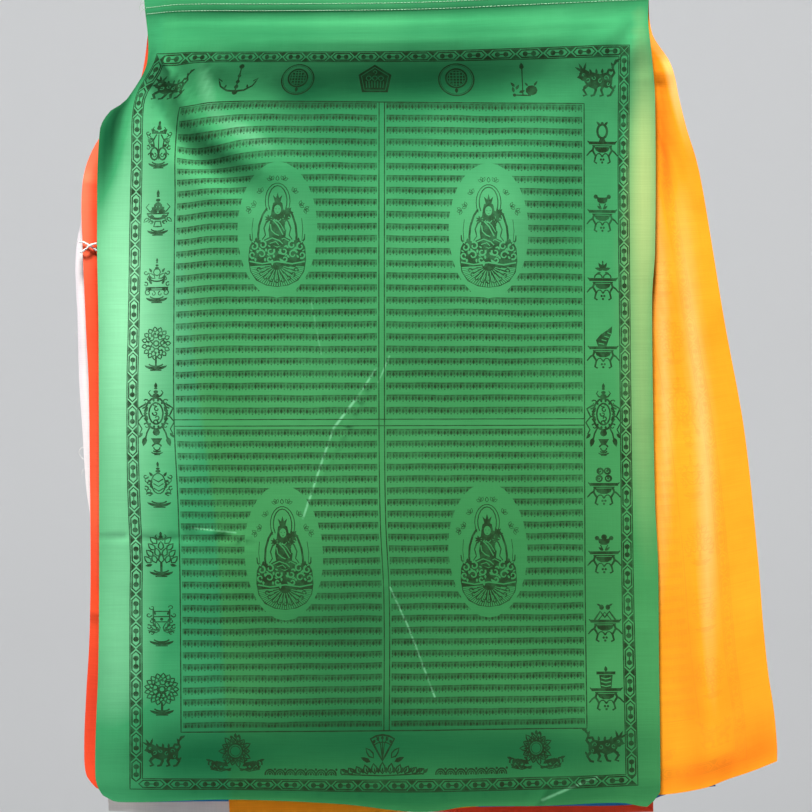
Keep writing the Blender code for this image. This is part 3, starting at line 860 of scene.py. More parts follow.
def staff(block, s, t, kind):
    """A beaded rod over wide crescent arms, or a thin one with a flame above and a dark jar at its foot."""
    block.move(s, t)
    if kind == 0:
        block.line(((0, -16), (0, 15)), 1.5)
        for v, radius in ((15.4, 3.0), (4, 2.0), (-3, 2.2), (-9, 2.4), (-15, 3.0)):
            block.dot(0, v, radius, 8)
        for side in (-1, 1):
            block.line(
                ((0, -14), (side * 9, -13), (side * 17, -8), (side * 21.6, 1), (side * 16.6, -2.4)), 2.4, 1.2,
            )
            block.leaf(side * 12, -10.6, 90 + side * 10, 4.6, 2.2)
        return
    block.line(((0, -15), (-0.8, 14)), 1.2)
    block.leaf(-0.8, 12, 96, 7.6, 4.4)
    block.dot(8.6, -9.6, 6.0, 9, 0.9)
    block.leaf(11, -5, 56, 6.6, 2.4)
    block.leaf(5, -5, 130, 5.0, 2.0)
    for u, v, towards in ((-8, -6, 130), (-7, -9, 60), (-9, -12, 100), (-4, -12, 20)):
        block.leaf(u, v, towards, 6.4, 3.0)
    block.line(((-10, -14.6), (8, -15.0)), 1.5)
    block.dot(-8.4, -14.6, 1.8)


def beast(block, s, t, size, mirrored):
    """A prowling guardian animal, dark, with a curled coat, horns and a raised tail."""
    block.move(s, t, size, mirrored)
    block.shape((
        (-16, -1), (-14, 6), (-7, 9), (2, 7), (10, 9), (16, 4), (15.6, -4), (10, -8), (2, -6.4), (-6, -8.6),
        (-13, -6),
    ))
    block.dot(-15.6, 5.6, 6.4, 9)
    block.shape(((-24, 3.4), (-20, 8), (-15, 5), (-17.6, 0.4)))
    for u, lean in ((-12, -5), (-6, 3), (6, -3), (12, 5)):
        block.line(((u, -4), (u + lean, -10), (u + lean * 0.3, -15.6), (u + lean * 0.3 - 4, -16.6)), 3.2, 2.0)
        block.leaf(u + lean, -9, 60, 5.2, 2.6)
    for towards in (118, 148, 74):
        block.leaf(-17, 9, towards, 11.0, 2.8)
    for k in range(4):
        block.leaf(-8 + 6 * k, 7, 110 - 12 * k, 6.0, 3.0)
    block.line(((14, 3), (18, 8), (15.6, 14), (20, 21)), 3.0, 1.6)
    for k in range(4):
        block.leaf(16.6 + 0.7 * k, 10 + 3 * k, 160 - 42 * k, 7.0, 3.2)
    block.kind = "cut"
    coat = ((-12, 1, 2.6), (-5, 3, 2.4), (2, -0.4, 2.6), (8.6, 3, 2.8), (11.6, -4, 2.0), (-17, 6, 1.6))
    for u, v, radius in coat:
        block.curl(u, v, radius, 40 * u, 320, 0.9)
    block.kind = "ink"


def jewel_flower(block, s, t):
    """A round mirror in petals, over leafy sprays."""
    block.move(s, t)
    block.arc(0, 2, 7.4, wide=2.0, parts=16)
    block.arc(0, 2, 5.0, wide=0.7, parts=16)
    for k in range(14):
        angle = 360 * k / 14
        u, v = cos(radians(angle)), sin(radians(angle))
        block.leaf(8.2 * u, 2 + 8.2 * v, angle, 6.0 + 2.4 * (k % 2), 4.2, 1.4)
        block.leaf(8.6 * u, 2 + 8.6 * v, angle, 4.0, 1.8)
    for side in (False, True):
        block.way = -1 if side else 1
        for k in range(5):
            block.curl(12.0 + 2.9 * k, -10 - 2.4 * (k % 2), 3.5, 90 + 60 * k, 300, 1.8)
            block.leaf(7 + 3.8 * k, -13, 30 + 12 * k, 8.5 - 0.8 * k, 3.4)
            block.leaf(4 + 4.4 * k, -17, 10 + 10 * k, 6.5, 2.6)
        block.line(((4, -15), (14, -18), (25, -16)), 1.3, 0.8)
        block.leaf(24, -8, 20, 6.0, 2.6)
    block.way = 1
    flames(block, 15, 5.0, 3)


def fan_gem(block, s, t):
    """A faceted gem that opens like a fan, resting on clouds with waves to either side."""
    block.move(s, t)
    rim = [(21 * cos(radians(a)), -9 + 22 * sin(radians(a))) for a in (55, 72, 90, 108, 125)]
    block.line([*rim, (0, -12)], 1.8, closed=True)
    for k in range(5):
        block.leaf(rim[k][0] * 0.8, (rim[k][1] + 12) * 0.8 - 12, 55 + 17.5 * (4 - k), 4.4, 3.0)
    for side in (-1, 1):
        block.leaf(side * 9, -9, 90 - side * 40, 12.0, 5.0, 1.4)
        block.leaf(side * 12, -13, 90 - side * 66, 11.0, 4.4)
    for u, v in rim[1:-1]:
        block.line(((u, v), (u * 0.3, v * 0.35), (0, -12)), 0.9)
    block.line([(u * 0.72, (v + 12) * 0.72 - 12) for u, v in rim], 1.0)
    for k in range(-5, 6):
        block.leaf(k * 7.6, -24, 90 - 9 * k, 10.6 - abs(k), 5.4, 1.6)
        block.leaf(k * 7.6 + 3.8, -24, 90 - 9 * k, 6.4, 3.0)
        block.leaf(k * 7.6, -23, 90 - 9 * k, 5.0, 1.8)
    block.line(((-42, -24.5), (0, -26), (42, -24.5)), 1.2)


def waves(block, s, t, count=7, pitch=10.4):
    """Scallops of water with a dot in each."""
    for k in range(count):
        block.move(s + (k - (count - 1) / 2) * pitch, t)
        for radius, wide in ((4.8, 1.6), (2.8, 1.2)):
            block.arc(0, -4, radius, 190, -10, wide)
        block.dot(0, -3.4, 1.3, 6)
        block.dot(pitch / 2, 1.0, 1.3, 6)


woodblock = Block()
border(woodblock)
rows_frame(woodblock)
for place in FIGURE_PLACES:
    figure(woodblock, *place)
for number in range(COLUMN_COUNT):
    down = COLUMN_TOP + COLUMN_PITCH * number
    stand_emblem(woodblock, COLUMN_LEFT, down, number)
    table_emblem(woodblock, COLUMN_RIGHT, down + 2, number)
for s_place in (194, 360):
    medallion(woodblock, s_place, TOP_ROW)
pentagon(woodblock, 277, TOP_ROW)
staff(woodblock, 129, TOP_ROW, 0)
staff(woodblock, 426, TOP_ROW + 2, 1)
beast(woodblock, 60, TOP_ROW + 2, 0.72, False)
beast(woodblock, 502, TOP_ROW + 2, 0.92, False)
beast(woodblock, 62, BOTTOM_ROW + 2, 0.78, False)
beast(woodblock, 502, BOTTOM_ROW, 0.86, True)
for s_place in (131, 436):
    jewel_flower(woodblock, s_place, BOTTOM_ROW + 2)
fan_gem(woodblock, 280, BOTTOM_ROW - 2)
for s_place in (197, 370):
    waves(woodblock, s_place, BOTTOM_ROW + 19)

GRID_PITCH = 6.0


def flat_cloth(block):
    """The flat cloth as triangles: a grid that gives way to the block's lines, and what each one holds."""
    corners = [(0.0, 0.0), (CLOTH_WIDE, 0.0), (CLOTH_WIDE, CLOTH_LONG), (0.0, CLOTH_LONG)]
    points, faces, kinds = list(corners), [[0, 1, 2, 3]], ["cloth"]
    crowded = set()
    for kind, shape in block.shapes:
        faces.append(list(range(len(points), len(points) + len(shape))))
        kinds.append(kind)
        points.extend(shape)
        if kind not in ("rows", "blank"):
            crowded.update((round(s / GRID_PITCH), round(t / GRID_PITCH)) for s, t in shape)
    across, down = round(CLOTH_WIDE / GRID_PITCH), round(CLOTH_LONG / GRID_PITCH)
    for i in range(across + 1):
        for j in range(down + 1):
            if (i, j) not in crowded:
                points.append((CLOTH_WIDE * i / across, CLOTH_LONG * j / down))
    verts, _, triangles, _, _, inside = delaunay_2d_cdt([Vector(p) for p in points], [], faces, 1, 1e-4, True)
    held = [{kinds[i] for i in holders} for holders in inside]
    printed = np.array([float("over" in holds or ("ink" in holds and "cut" not in holds)) for holds in held])
    in_rows = np.array([float("rows" in holds and "blank" not in holds) for holds in held])
    return np.array([tuple(v) for v in verts]), triangles, printed, in_rows


flat_points, flat_triangles, printed_share, rows_share = flat_cloth(woodblock)


# The cloth's looks: its plain weave, the rows of ornament, ink that a hand-pressed block leaves uneven, light
# and shade painted into the dye in patches, and the next flag's colour painted in where it shows through.
def wire(tree, socket, value):
    """Links a socket to another one, or sets it to a plain value."""
    if isinstance(value, bpy.types.NodeSocket):
        tree.links.new(value, socket)
    else:
        socket.default_value = value


def add_node(tree, kind, inputs=None, **settings):
    node = tree.nodes.new("ShaderNode" + kind)
    for name, value in settings.items():
        setattr(node, name, value)
    for name, value in (inputs or {}).items():
        wire(tree, node.inputs[name], value)
    return node


def math(tree, operation, *values, clamp=False):
    node = add_node(tree, "Math", operation=operation, use_clamp=clamp)
    for socket, value in zip(node.inputs, values):
        wire(tree, socket, value)
    return node.outputs["Value"]


def ramp(tree, value, low, high, to_low=0.0, to_high=1.0):
    """A smooth step from to_low to to_high as the value goes from low to high."""
    limits = {"Value": value, "From Min": low, "From Max": high, "To Min": to_low, "To Max": to_high}
    return add_node(tree, "MapRange", limits, interpolation_type="SMOOTHSTEP").outputs["Result"]


def blend(tree, share, first, second, way="MIX"):
    node = add_node(tree, "Mix", data_type="RGBA", blend_type=way)
    wire(tree, node.inputs[0], share)
    wire(tree, node.inputs[6], first)
    wire(tree, node.inputs[7], second)
    return node.outputs[2]


def noise(tree, place, scale, detail=2.0, stretch=(1, 1, 1), offset=(0, 0, 0)):
    """A noise value over the flat cloth, whose place is in mm."""
    mapped = add_node(tree, "Mapping", {"Vector": place, "Location": offset, "Scale": stretch})
    texture = add_node(tree, "TexNoise", {"Vector": mapped.outputs[0], "Scale": scale, "Detail": detail})
    return texture.outputs[0]


def new_group(name, inputs, outputs):
    """An empty node group with named sockets, and its two end nodes."""
    group = bpy.data.node_groups.new(name, "ShaderNodeTree")
    for socket, kind, start in inputs:
        item = group.interface.new_socket(socket, in_out="INPUT", socket_type="NodeSocket" + kind)
        if start is not None:
            item.default_value = start
    for socket, kind in outputs:
        group.interface.new_socket(socket, in_out="OUTPUT", socket_type="NodeSocket" + kind)
    return group, group.nodes.new("NodeGroupInput").outputs, group.nodes.new("NodeGroupOutput").inputs


def use_group(tree, group, **values):
    node = tree.nodes.new("ShaderNodeGroup")
    node.node_tree = group
    for name, value in values.items():
        wire(tree, node.inputs[name], value)
    return node.outputs


def rows_group():
    """Rows of ornament: a head line with a close fringe of lozenges and beads, always in the same order."""
    group, given, wanted = new_group("ornament_rows", [("Place", "Vector", None)], [("Mask", "Float")])
    split = add_node(group, "SeparateXYZ", {"Vector": given["Place"]}).outputs
    wobble = math(group, "SUBTRACT", noise(group, given["Place"], 0.02, 1.0), 0.5)
    lower = math(group, "GREATER_THAN", split[1], BAR_DOWN[0])
    top = math(group, "MULTIPLY_ADD", lower, BAR_DOWN[1] + ROW_GAP - ROW_FRAME[1], ROW_FRAME[1])
    pitch = math(group, "MULTIPLY_ADD", lower, ROW_PITCH[1] - ROW_PITCH[0], ROW_PITCH[0])
    down = math(group, "SUBTRACT", math(group, "MULTIPLY_ADD", wobble, 2.4, split[1]), top)
    row = math(group, "DIVIDE", down, pitch)
    v = math(group, "MULTIPLY", math(group, "FRACT", row), pitch)
    # Every other row starts half a repeat along, as in brickwork
    shifted = math(group, "MULTIPLY_ADD", math(group, "FLOOR", row), ROW_SHAPES[0].period / 2, split[0])
    mask = None
    for shape in ROW_SHAPES:
        repeat = math(group, "FRACT", math(group, "DIVIDE", shifted, shape.period))
        u = math(group, "MULTIPLY", repeat, shape.period)
        off_u, off_v = math(group, "SUBTRACT", u, shape.u), math(group, "SUBTRACT", v, shape.v)
        away_u = math(group, "DIVIDE", math(group, "ABSOLUTE", off_u), shape.half_u)
        away_v = math(group, "DIVIDE", math(group, "ABSOLUTE", off_v), shape.half_v)
        spread = math(group, "ADD" if shape.pointed else "MAXIMUM", away_u, away_v)
        narrower = min(shape.half_u, shape.half_v)
        outside = math(group, "MULTIPLY", math(group, "SUBTRACT", spread, 1.0), narrower)
        dark = ramp(group, outside, -INK_SOFT, INK_SOFT, shape.share, 0.0)
        mask = dark if mask is None else math(group, "MAXIMUM", mask, dark)
    wire(group, wanted["Mask"], mask)
    return group


# Each shape repeats along the row. Its middle is u along and v below the head line, all in mm.
RowShape = namedtuple("RowShape", "period u v half_u half_v pointed share")
ROW_GAP = 2.5
ROW_PITCH = (12.2, 11.7)
INK_SOFT = 0.55
ROW_SHAPES = (
    RowShape(6.4, 3.2, 1.5, 3.4, 0.7, False, 0.9),
    RowShape(6.4, 1.6, 4.6, 1.5, 3.0, True, 1.0),
    RowShape(6.4, 4.8, 4.0, 1.2, 1.9, True, 0.9),
    RowShape(6.4, 3.2, 4.0, 3.3, 2.4, False, 0.56),
    RowShape(6.4, 4.8, 7.3, 0.9, 0.9, True, 0.9),
)
ornament_rows = rows_group()


def worn_group():
    """Ink as a hand-pressed block leaves it: thin in patches, broken in the weave."""
    group, given, wanted = new_group(
        "worn_ink", [("Place", "Vector", None), ("Mask", "Float", 0.0), ("Wear", "Float", 0.3)],
        [("Ink", "Float")],
    )
    patches = ramp(group, noise(group, given["Place"], 0.014, 3.0), 0.30, 0.62)
    blots = ramp(group, noise(group, given["Place"], 0.13, 3.0), 0.36, 0.60)
    grains = ramp(group, noise(group, given["Place"], 0.9, 1.0), 0.22, 0.62)
    kept = math(group, "MULTIPLY_ADD", blots, 0.45, math(group, "MULTIPLY", grains, 0.25))
    kept = math(group, "MULTIPLY_ADD", patches, 0.3, kept)
    lost = math(group, "MULTIPLY", math(group, "SUBTRACT", 1.0, kept), given["Wear"])
    strength = math(group, "SUBTRACT", 1.0, lost, clamp=True)
    wire(group, wanted["Ink"], math(group, "MULTIPLY", given["Mask"], strength))
    return group


worn_ink = worn_group()


def weave_group():
    """Plain-woven thread: its relief, and the slubs that streak it both ways."""
    group, given, wanted = new_group(
        "plain_weave", [("Place", "Vector", None), ("Pitch", "Float", 0.55)],
        [("Relief", "Float"), ("Slubs", "Float")],
    )
    split = add_node(group, "SeparateXYZ", {"Vector": given["Place"]}).outputs
    turns = [
        math(group, "SINE", math(group, "DIVIDE", math(group, "MULTIPLY", split[i], 2 * pi), given["Pitch"]))
        for i in (0, 1)
    ]
    threads = math(group, "MULTIPLY", turns[0], turns[1])
    warp = noise(group, given["Place"], 1.0, 1.0, (1.3, 0.025, 1))
    weft = noise(group, given["Place"], 1.0, 1.0, (0.025, 1.3, 1), (0, 0, 7))
    slubs = math(group, "MULTIPLY_ADD", warp, 0.3, math(group, "MULTIPLY", weft, 0.7))
    wire(group, wanted["Slubs"], slubs)
    raised = math(group, "MULTIPLY_ADD", threads, 0.3, math(group, "MULTIPLY", slubs, 0.6))
    wire(group, wanted["Relief"], raised)
    return group


plain_weave = weave_group()

# Lines painted paler along old pressed creases
Rub = namedtuple("Rub", "s t to_s to_t half share")
# Besides the dye and ink, a finish holds the colours of painted highlights and crease lines, and of painted
# shade
Finish = namedtuple(
    "Finish", "name deep pale faded worn_deep through ink ink_strength wear warm rubs", defaults=(None, ()),
)
# Patches of painted light and shade on the flat cloth
Fade = namedtuple("Fade", "s t half_s half_t share lean", defaults=(0.0,))
GREEN_FINISH = Finish(
    "green_cotton", (0.026, 0.215, 0.084), (0.048, 0.290, 0.116), (0.230, 0.600, 0.330),
    (0.002, 0.070, 0.024), (0.056, 0.225, 0.050), (0.010, 0.017, 0.006), 0.96, 0.42, (0.43, 0.52, 0.19),
    (
        Rub(279, 386, 262, 412, 1.8, 0.45), Rub(262, 412, 236, 446, 2.2, 0.60),
        Rub(236, 446, 203, 536, 1.9, 0.50), Rub(292, 374, 281, 400, 1.5, 0.35),
        Rub(288, 606, 306, 646, 1.7, 0.42), Rub(306, 646, 333, 716, 1.6, 0.45),
        Rub(498, 797, 442, 817, 2.2, 0.40), Rub(90, 545, 134, 550, 1.6, 0.40),
        Rub(214, 320, 224, 372, 1.3, 0.22),
    ),
)
# Painted light and shade. First the paler painted light at the margins and the heading's right end
GREEN_LIGHT_AND_SHADE = (
    Fade(22, 330, 30, 190, 0.75), Fade(52, 330, 42, 150, 0.35), Fade(20, 660, 30, 140, 0.45),
    Fade(548, 190, 14, 130, 0.78), Fade(545, 430, 16, 150, 0.34), Fade(470, 38, 90, 14, 0.22),
    # Painted highlight on the lobe, painted shade in the valley below it, and two paler patches at the upper
    # figures
    Fade(98, 102, 9, 26, 0.42, 0.5), Fade(144, 148, 15, 20, 0.42, 1.5), Fade(116, 154, 12, 34, -0.60, 1.1),
    Fade(390, 252, 60, 90, 0.12), Fade(182, 256, 50, 80, 0.10),
    # Painted shade in the heading's dark turn and painted light and shade in its streaks, then painted shade
    # under the swag, in the turned-back groove at the left, and over the lower half down to the hem
    Fade(120, 17, 200, 4.5, -0.55), Fade(430, 16, 160, 4.0, -0.30), Fade(279, 38, 420, 26, -0.32),
    Fade(260, 30, 220, 3.0, 0.14), Fade(200, 41, 230, 2.6, -0.20), Fade(330, 49, 200, 2.6, 0.10),
    Fade(310, 98, 160, 32, -0.80), Fade(196, 114, 30, 24, -0.45), Fade(240, 150, 80, 34, -0.25),
    Fade(500, 150, 60, 60, -0.12), Fade(280, 765, 210, 46, -0.70), Fade(290, 812, 400, 12, -0.55),
    Fade(240, 660, 120, 90, -0.45), Fade(80, 775, 90, 34, -0.60), Fade(470, 775, 110, 34, -0.45),
    Fade(8, 146, 14, 64, -1.20, -0.1), Fade(470, 600, 70, 120, -0.22), Fade(300, 440, 130, 190, -0.14),
    Fade(300, 620, 170, 130, -0.16),
)


def pale_along_creases(tree, place, rubs):
    """How far the cloth is painted paler along old pressed creases, in lines that break up here and there."""
    broken = ramp(tree, noise(tree, place, 0.12, 2.0), 0.36, 0.56, 0.25, 1.0)
    crease_paling = 0.0
    for pale_crease in rubs:
        run = Vector((pale_crease.to_s - pale_crease.s, pale_crease.to_t - pale_crease.t, 0))
        past = add_node(tree, "VectorMath", {0: place, 1: (pale_crease.s, pale_crease.t, 0)}, operation="SUBTRACT").outputs[0]
        share = add_node(tree, "VectorMath", {0: past, 1: run / run.length_squared}, operation="DOT_PRODUCT")
        share = math(tree, "ADD", share.outputs["Value"], 0.0, clamp=True)
        nearest = add_node(tree, "VectorMath", {0: run, 3: share}, operation="SCALE").outputs[0]
        away = add_node(tree, "VectorMath", {0: past, 1: nearest}, operation="DISTANCE").outputs["Value"]
        crease_paling = math(tree, "MAXIMUM", crease_paling, ramp(tree, away, 0.0, pale_crease.half, pale_crease.share, 0.0))
    return math(tree, "MULTIPLY", crease_paling, broken)


def cloth_material(finish):
    """Dyed plain-woven cloth with the block's print, painted paler as lit and darker as shaded in patches."""
    material = bpy.data.materials.new(finish.name)
    material.use_nodes = True
    tree = material.node_tree
    shader = tree.nodes["Principled BSDF"]
    flat = add_node(tree, "UVMap", uv_map="flat_cloth").outputs[0]
    place = add_node(tree, "VectorMath", {0: flat, 3: 1 / MM}, operation="SCALE").outputs[0]
    weave = use_group(tree, plain_weave, Place=place)
    uneven = ramp(tree, noise(tree, place, 0.006, 4.0), 0.32, 0.68)
    dye = blend(tree, uneven, (*finish.deep, 1), (*finish.pale, 1))
    # The next flag's colour is painted in where it would show through the thin cloth, more so lower down
    past_edge = add_node(tree, "Attribute", attribute_name="past_edge").outputs["Fac"]
    lower = ramp(tree, add_node(tree, "SeparateXYZ", {"Vector": place}).outputs[1], 60, 560, 0.08, 0.5)
    shown_through = math(tree, "MULTIPLY", ramp(tree, past_edge, -2.0, 6.0), lower)
    dye = blend(tree, shown_through, dye, (*finish.through, 1))
    # Painted highlight on the sheet's lit patches, warmer to the right, and painted shade on its shaded ones
    fade = add_node(tree, "Attribute", attribute_name="fade").outputs["Fac"]
    warm = (*(finish.warm or finish.faded), 1)
    faded = blend(tree, ramp(tree, past_edge, 330.0, 460.0), (*finish.faded, 1), warm)
    dye = blend(tree, math(tree, "MAXIMUM", fade, 0.0), dye, faded)
    shade_share = math(tree, "MAXIMUM", math(tree, "MULTIPLY", fade, -1.0), 0.0)
    dye = blend(tree, shade_share, dye, (*finish.worn_deep, 1))
    # Paler lines painted along old pressed creases
    if finish.rubs:
        dye = blend(tree, pale_along_creases(tree, place, finish.rubs), dye, (*finish.faded, 1))
    slubs = ramp(tree, weave["Slubs"], 0.3, 0.7, 0.95, 1.05)
    streaks = add_node(tree, "CombineColor", {0: slubs, 1: slubs, 2: slubs}).outputs[0]
    dye = blend(tree, 1.0, dye, streaks, "MULTIPLY")
    rows = use_group(tree, ornament_rows, Place=place)["Mask"]
    in_rows = add_node(tree, "Attribute", attribute_name="rows").outputs["Fac"]
    printed = add_node(tree, "Attribute", attribute_name="printed").outputs["Fac"]
    mask = math(tree, "MAXIMUM", printed, math(tree, "MULTIPLY", rows, in_rows))
    ink = use_group(tree, worn_ink, Place=place, Mask=mask, Wear=finish.wear)["Ink"]
    share = math(tree, "MULTIPLY", ink, finish.ink_strength)
    wire(tree, shader.inputs["Base Color"], blend(tree, share, dye, (*finish.ink, 1)))
    shader.inputs["Roughness"].default_value = 0.86
    shader.inputs["Specular IOR Level"].default_value = 0.06
    shader.inputs["Sheen Weight"].default_value = 0.02
    shader.inputs["Sheen Roughness"].default_value = 0.5
    rumple = noise(tree, place, 0.028, 3.0)
    height = math(tree, "MULTIPLY_ADD", rumple, 22.0, weave["Relief"])
    bump = add_node(tree, "Bump", {"Height": height, "Distance": 0.00006, "Strength": 0.6})
    wire(tree, shader.inputs["Normal"], bump.outputs[0])
    return material


def light_shade_at(light_shade_patches, s, t):
    """Painted shade at -1 to painted light at 1. A leaning patch drifts along s as t grows."""
    total = np.zeros_like(s)
    for f in light_shade_patches:
        drift = s - f.s - f.lean * (t - f.t)
        total += f.share * np.exp(-((drift / f.half_s) ** 2) - ((t - f.t) / f.half_t) ** 2)
    return np.clip(total, -1, 1)


def hung_sheet(flag, finish, light_shade_patches=()):
    """The flat cloth, hung as one flag."""
    s, t = flat_points[:, 0], flat_points[:, 1]
    places = hang(flag, s, t)
    step = 0.5
    run_s = hang(flag, s + step, t) - hang(flag, s - step, t)
    run_t = hang(flag, s, t + step) - hang(flag, s, t - step)
    normals = np.cross(run_s, run_t) * (-1 if flag.printed_front else 1)
    normals /= np.linalg.norm(normals, axis=1)[:, None]
    triangles = [tri[::-1] if flag.printed_front else tri for tri in flat_triangles]
    mesh = bpy.data.meshes.new(flag.name)
    mesh.from_pydata((places * MM).tolist(), [], triangles)
    corners = np.concatenate(triangles)
    mesh.uv_layers.new(name="flat_cloth").data.foreach_set("uv", (flat_points[corners] * MM).ravel())
    for name, domain, values in (
        ("printed", "FACE", printed_share),
        ("rows", "FACE", rows_share),
        ("past_edge", "POINT", places[:, 0] - along(YELLOW_LEFT, places[:, 2])),
        ("fade", "POINT", light_shade_at(light_shade_patches, s, t)),
    ):
        mesh.attributes.new(name, "FLOAT", domain).data.foreach_set("value", values)
    mesh.shade_smooth()
    mesh.normals_split_custom_set_from_vertices(normals.tolist())
    mesh.materials.append(cloth_material(finish))
    sheet = bpy.data.objects.new(flag.name, mesh)
    bpy.context.scene.collection.objects.link(sheet)
    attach(sheet, "root")
    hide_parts(flag.node)
    return sheet


YELLOW_LEFT = (
    (-822, -171), (-700, -178), (-548, -185), (-408, -203), (-208, -226), (-100, -238), (-2, -238),
)
OFF_AXIS = Vector((0.31, 0.20, 0.93))
STITCH_ROWS = (10.5, 17.5)
STITCH_LONG, STITCH_PITCH, STITCH_THICK, STITCH_PROUD = 2.5, 3.6, 0.34, 0.3


def rings(points):
    """At each of the points, two unit vectors across the run."""
    for i, point in enumerate(points):
        run = points[min(i + 1, len(points) - 1)] - points[max(i - 1, 0)]
        across = run.cross(OFF_AXIS).normalized()
        yield point, across, run.cross(across).normalized()


def threads(name, runs, colour, slot):
    """Fine threads as one piece. Each run is its points in mm, its radius and its radius at the far end."""
    verts, faces = [], []
    sides = 5
    for points, radius, radius_end in runs:
        points = [Vector(p) for p in points]
        first = len(verts)
        for i, (point, across, up) in enumerate(rings(points)):
            r = radius + (radius_end - radius) * i / (len(points) - 1)
            for k in range(sides):
                angle = 2 * pi * k / sides
                verts.append((point + (across * cos(angle) + up * sin(angle)) * r) * MM)
        for i in range(len(points) - 1):
            for k in range(sides):
                low, next_low = first + i * sides + k, first + i * sides + (k + 1) % sides
                faces.append((low, next_low, next_low + sides, low + sides))
        faces.append([first + k for k in reversed(range(sides))])
        faces.append([len(verts) - sides + k for k in range(sides)])
    mesh = bpy.data.meshes.new(name)
    mesh.from_pydata(verts, [], faces)
    mesh.shade_smooth()
    material = bpy.data.materials.new(name)
    material.use_nodes = True
    tree = material.node_tree
    spot = add_node(tree, "TexCoord").outputs["Object"]
    place = add_node(tree, "VectorMath", {0: spot, 3: 1 / MM}, operation="SCALE")
    uneven = ramp(tree, noise(tree, place.outputs[0], 0.5, 2.0), 0.3, 0.7, 0.8, 1.0)
    shade = add_node(tree, "CombineColor", {0: uneven, 1: uneven, 2: uneven}).outputs[0]
    shader = tree.nodes["Principled BSDF"]
    wire(tree, shader.inputs["Base Color"], blend(tree, 1.0, (*colour, 1), shade, "MULTIPLY"))
    shader.inputs["Roughness"].default_value = 0.8
    shader.inputs["Specular IOR Level"].default_value = 0.3
    mesh.materials.append(material)
    piece = bpy.data.objects.new(name, mesh)
    bpy.context.scene.collection.objects.link(piece)
    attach(piece, "root")
    return piece


def heading_stitches(flag, colour):
    """Both rows of running stitches that close the heading, as they show on its two faces."""
    starts = np.arange(2.0, CLOTH_WIDE - STITCH_LONG - 2, STITCH_PITCH)
    runs = []
    for row in STITCH_ROWS:
        ends = np.repeat(starts, 3) + np.tile((0.0, STITCH_LONG / 2, STITCH_LONG), len(starts))
        places = hang(flag, ends, np.full_like(ends, row)).reshape(-1, 3, 3)
        for side in (-1, 1):
            sewn = places + np.array([(0, -side * 0.1, 0), (0, side * STITCH_PROUD, 0), (0, -side * 0.1, 0)])
            runs += [(points, STITCH_THICK, STITCH_THICK) for points in sewn]
    return threads(flag.name.replace("sheet", "stitches"), runs, colour, flag.slot)


def loose_ends(flag, name, colour, places):
    """Threads that have worked loose at the left edge: each is t, reach, drop and whether it loops back."""
    runs = []
    for t, reach, drop, loops in places:
        x, y, z = hang(flag, [0.0], [t])[0]
        points = [
            (x + 0.6, y, z), (x - reach * 0.6, y - 0.4, z - drop * 0.1), (x - reach, y - 0.9, z - drop * 0.5),
        ]
        points.append((x + 0.4, y + 0.3, z - drop) if loops else (x - reach * 1.1, y - 0.4, z - drop))
        runs.append((finer_run(points, 0.8), 0.24, 0.24 if loops else 0.08))
    return threads(name, runs, colour, flag.slot)


GREEN = Flag(
    "green_sheet", "green_flag", "green_cloth", 0, True, GREEN_ACROSS, GREEN_DOWN, GREEN_FOLDS, GREEN_CREASES,
    GREEN_PULLS,
)
hung_sheet(GREEN, GREEN_FINISH, GREEN_LIGHT_AND_SHADE)
heading_stitches(GREEN, (0.30, 0.50, 0.33))
loose_ends(GREEN, "green_loose_ends", (0.45, 0.66, 0.46), (
    (1.0, 3.4, 5.0, False), (4.5, 4.6, 7.5, False), (8.0, 2.6, 4.0, True), (12.0, 3.8, 6.0, False),
))

# The yellow flag hangs behind the green one with its printed side to the back, so its front shows only
# what soaks through. A wide strip of it stands out on the right, in long folds.
YELLOW_RIGHT = (
    (-770, 378), (-755, 378), (-720, 375), (-680, 369), (-632, 364), (-568, 359), (-438, 345),
    (-328, 325), (-207, 305), (-168, 297), (-136, 287), (-104, 279), (-84, 275), (-67, 269),
    (-40, 252), (11, 249),
)
YELLOW_HEM = (
    (-171, -822.5), (-60, -822), (20, -819), (100, -813), (260, -803.5), (305, -796.5),
    (329, -787.5), (353, -779.5), (378, -769.5),
)
YELLOW_FOLDS = (
    Fold(271, -80, 300, -200, 11, 15, 5.0, 1.5),       # turned-over side near the corner
    Fold(260, -96, 272, -270, 10, 14, -3.0, -1.0),     # deep trough beside it
    Fold(292, -340, 318, -760, 15, 22, 1.0, 3.5),      # long pale fold
    Fold(338, -470, 348, -750, 18, 22, -0.5, -2.0),
    Fold(268, -420, 262, -770, 12, 14, 0.5, 1.5),
)


def plain_flag(name, colour, layer, printed_front, left, right, hem, folds, creases=()):
    """A flag that hangs evenly between its two sides and from heading to hem."""
    across = ((0, left), (CLOTH_WIDE, right))
    down = ((0, HEADING_LINE), (CLOTH_LONG, hem))
    return Flag(
        name, f"{colour}_flag", f"{colour}_cloth", layer, printed_front, across, down, folds, creases, (),
    )


YELLOW_FINISH = Finish(
    "yellow_cotton", (0.86, 0.23, 0.006), (0.93, 0.34, 0.016), (0.98, 0.54, 0.19), (0.78, 0.11, 0.005),
    (0.90, 0.38, 0.02), (0.30, 0.08, 0.02), 0.16, 1.0,
)
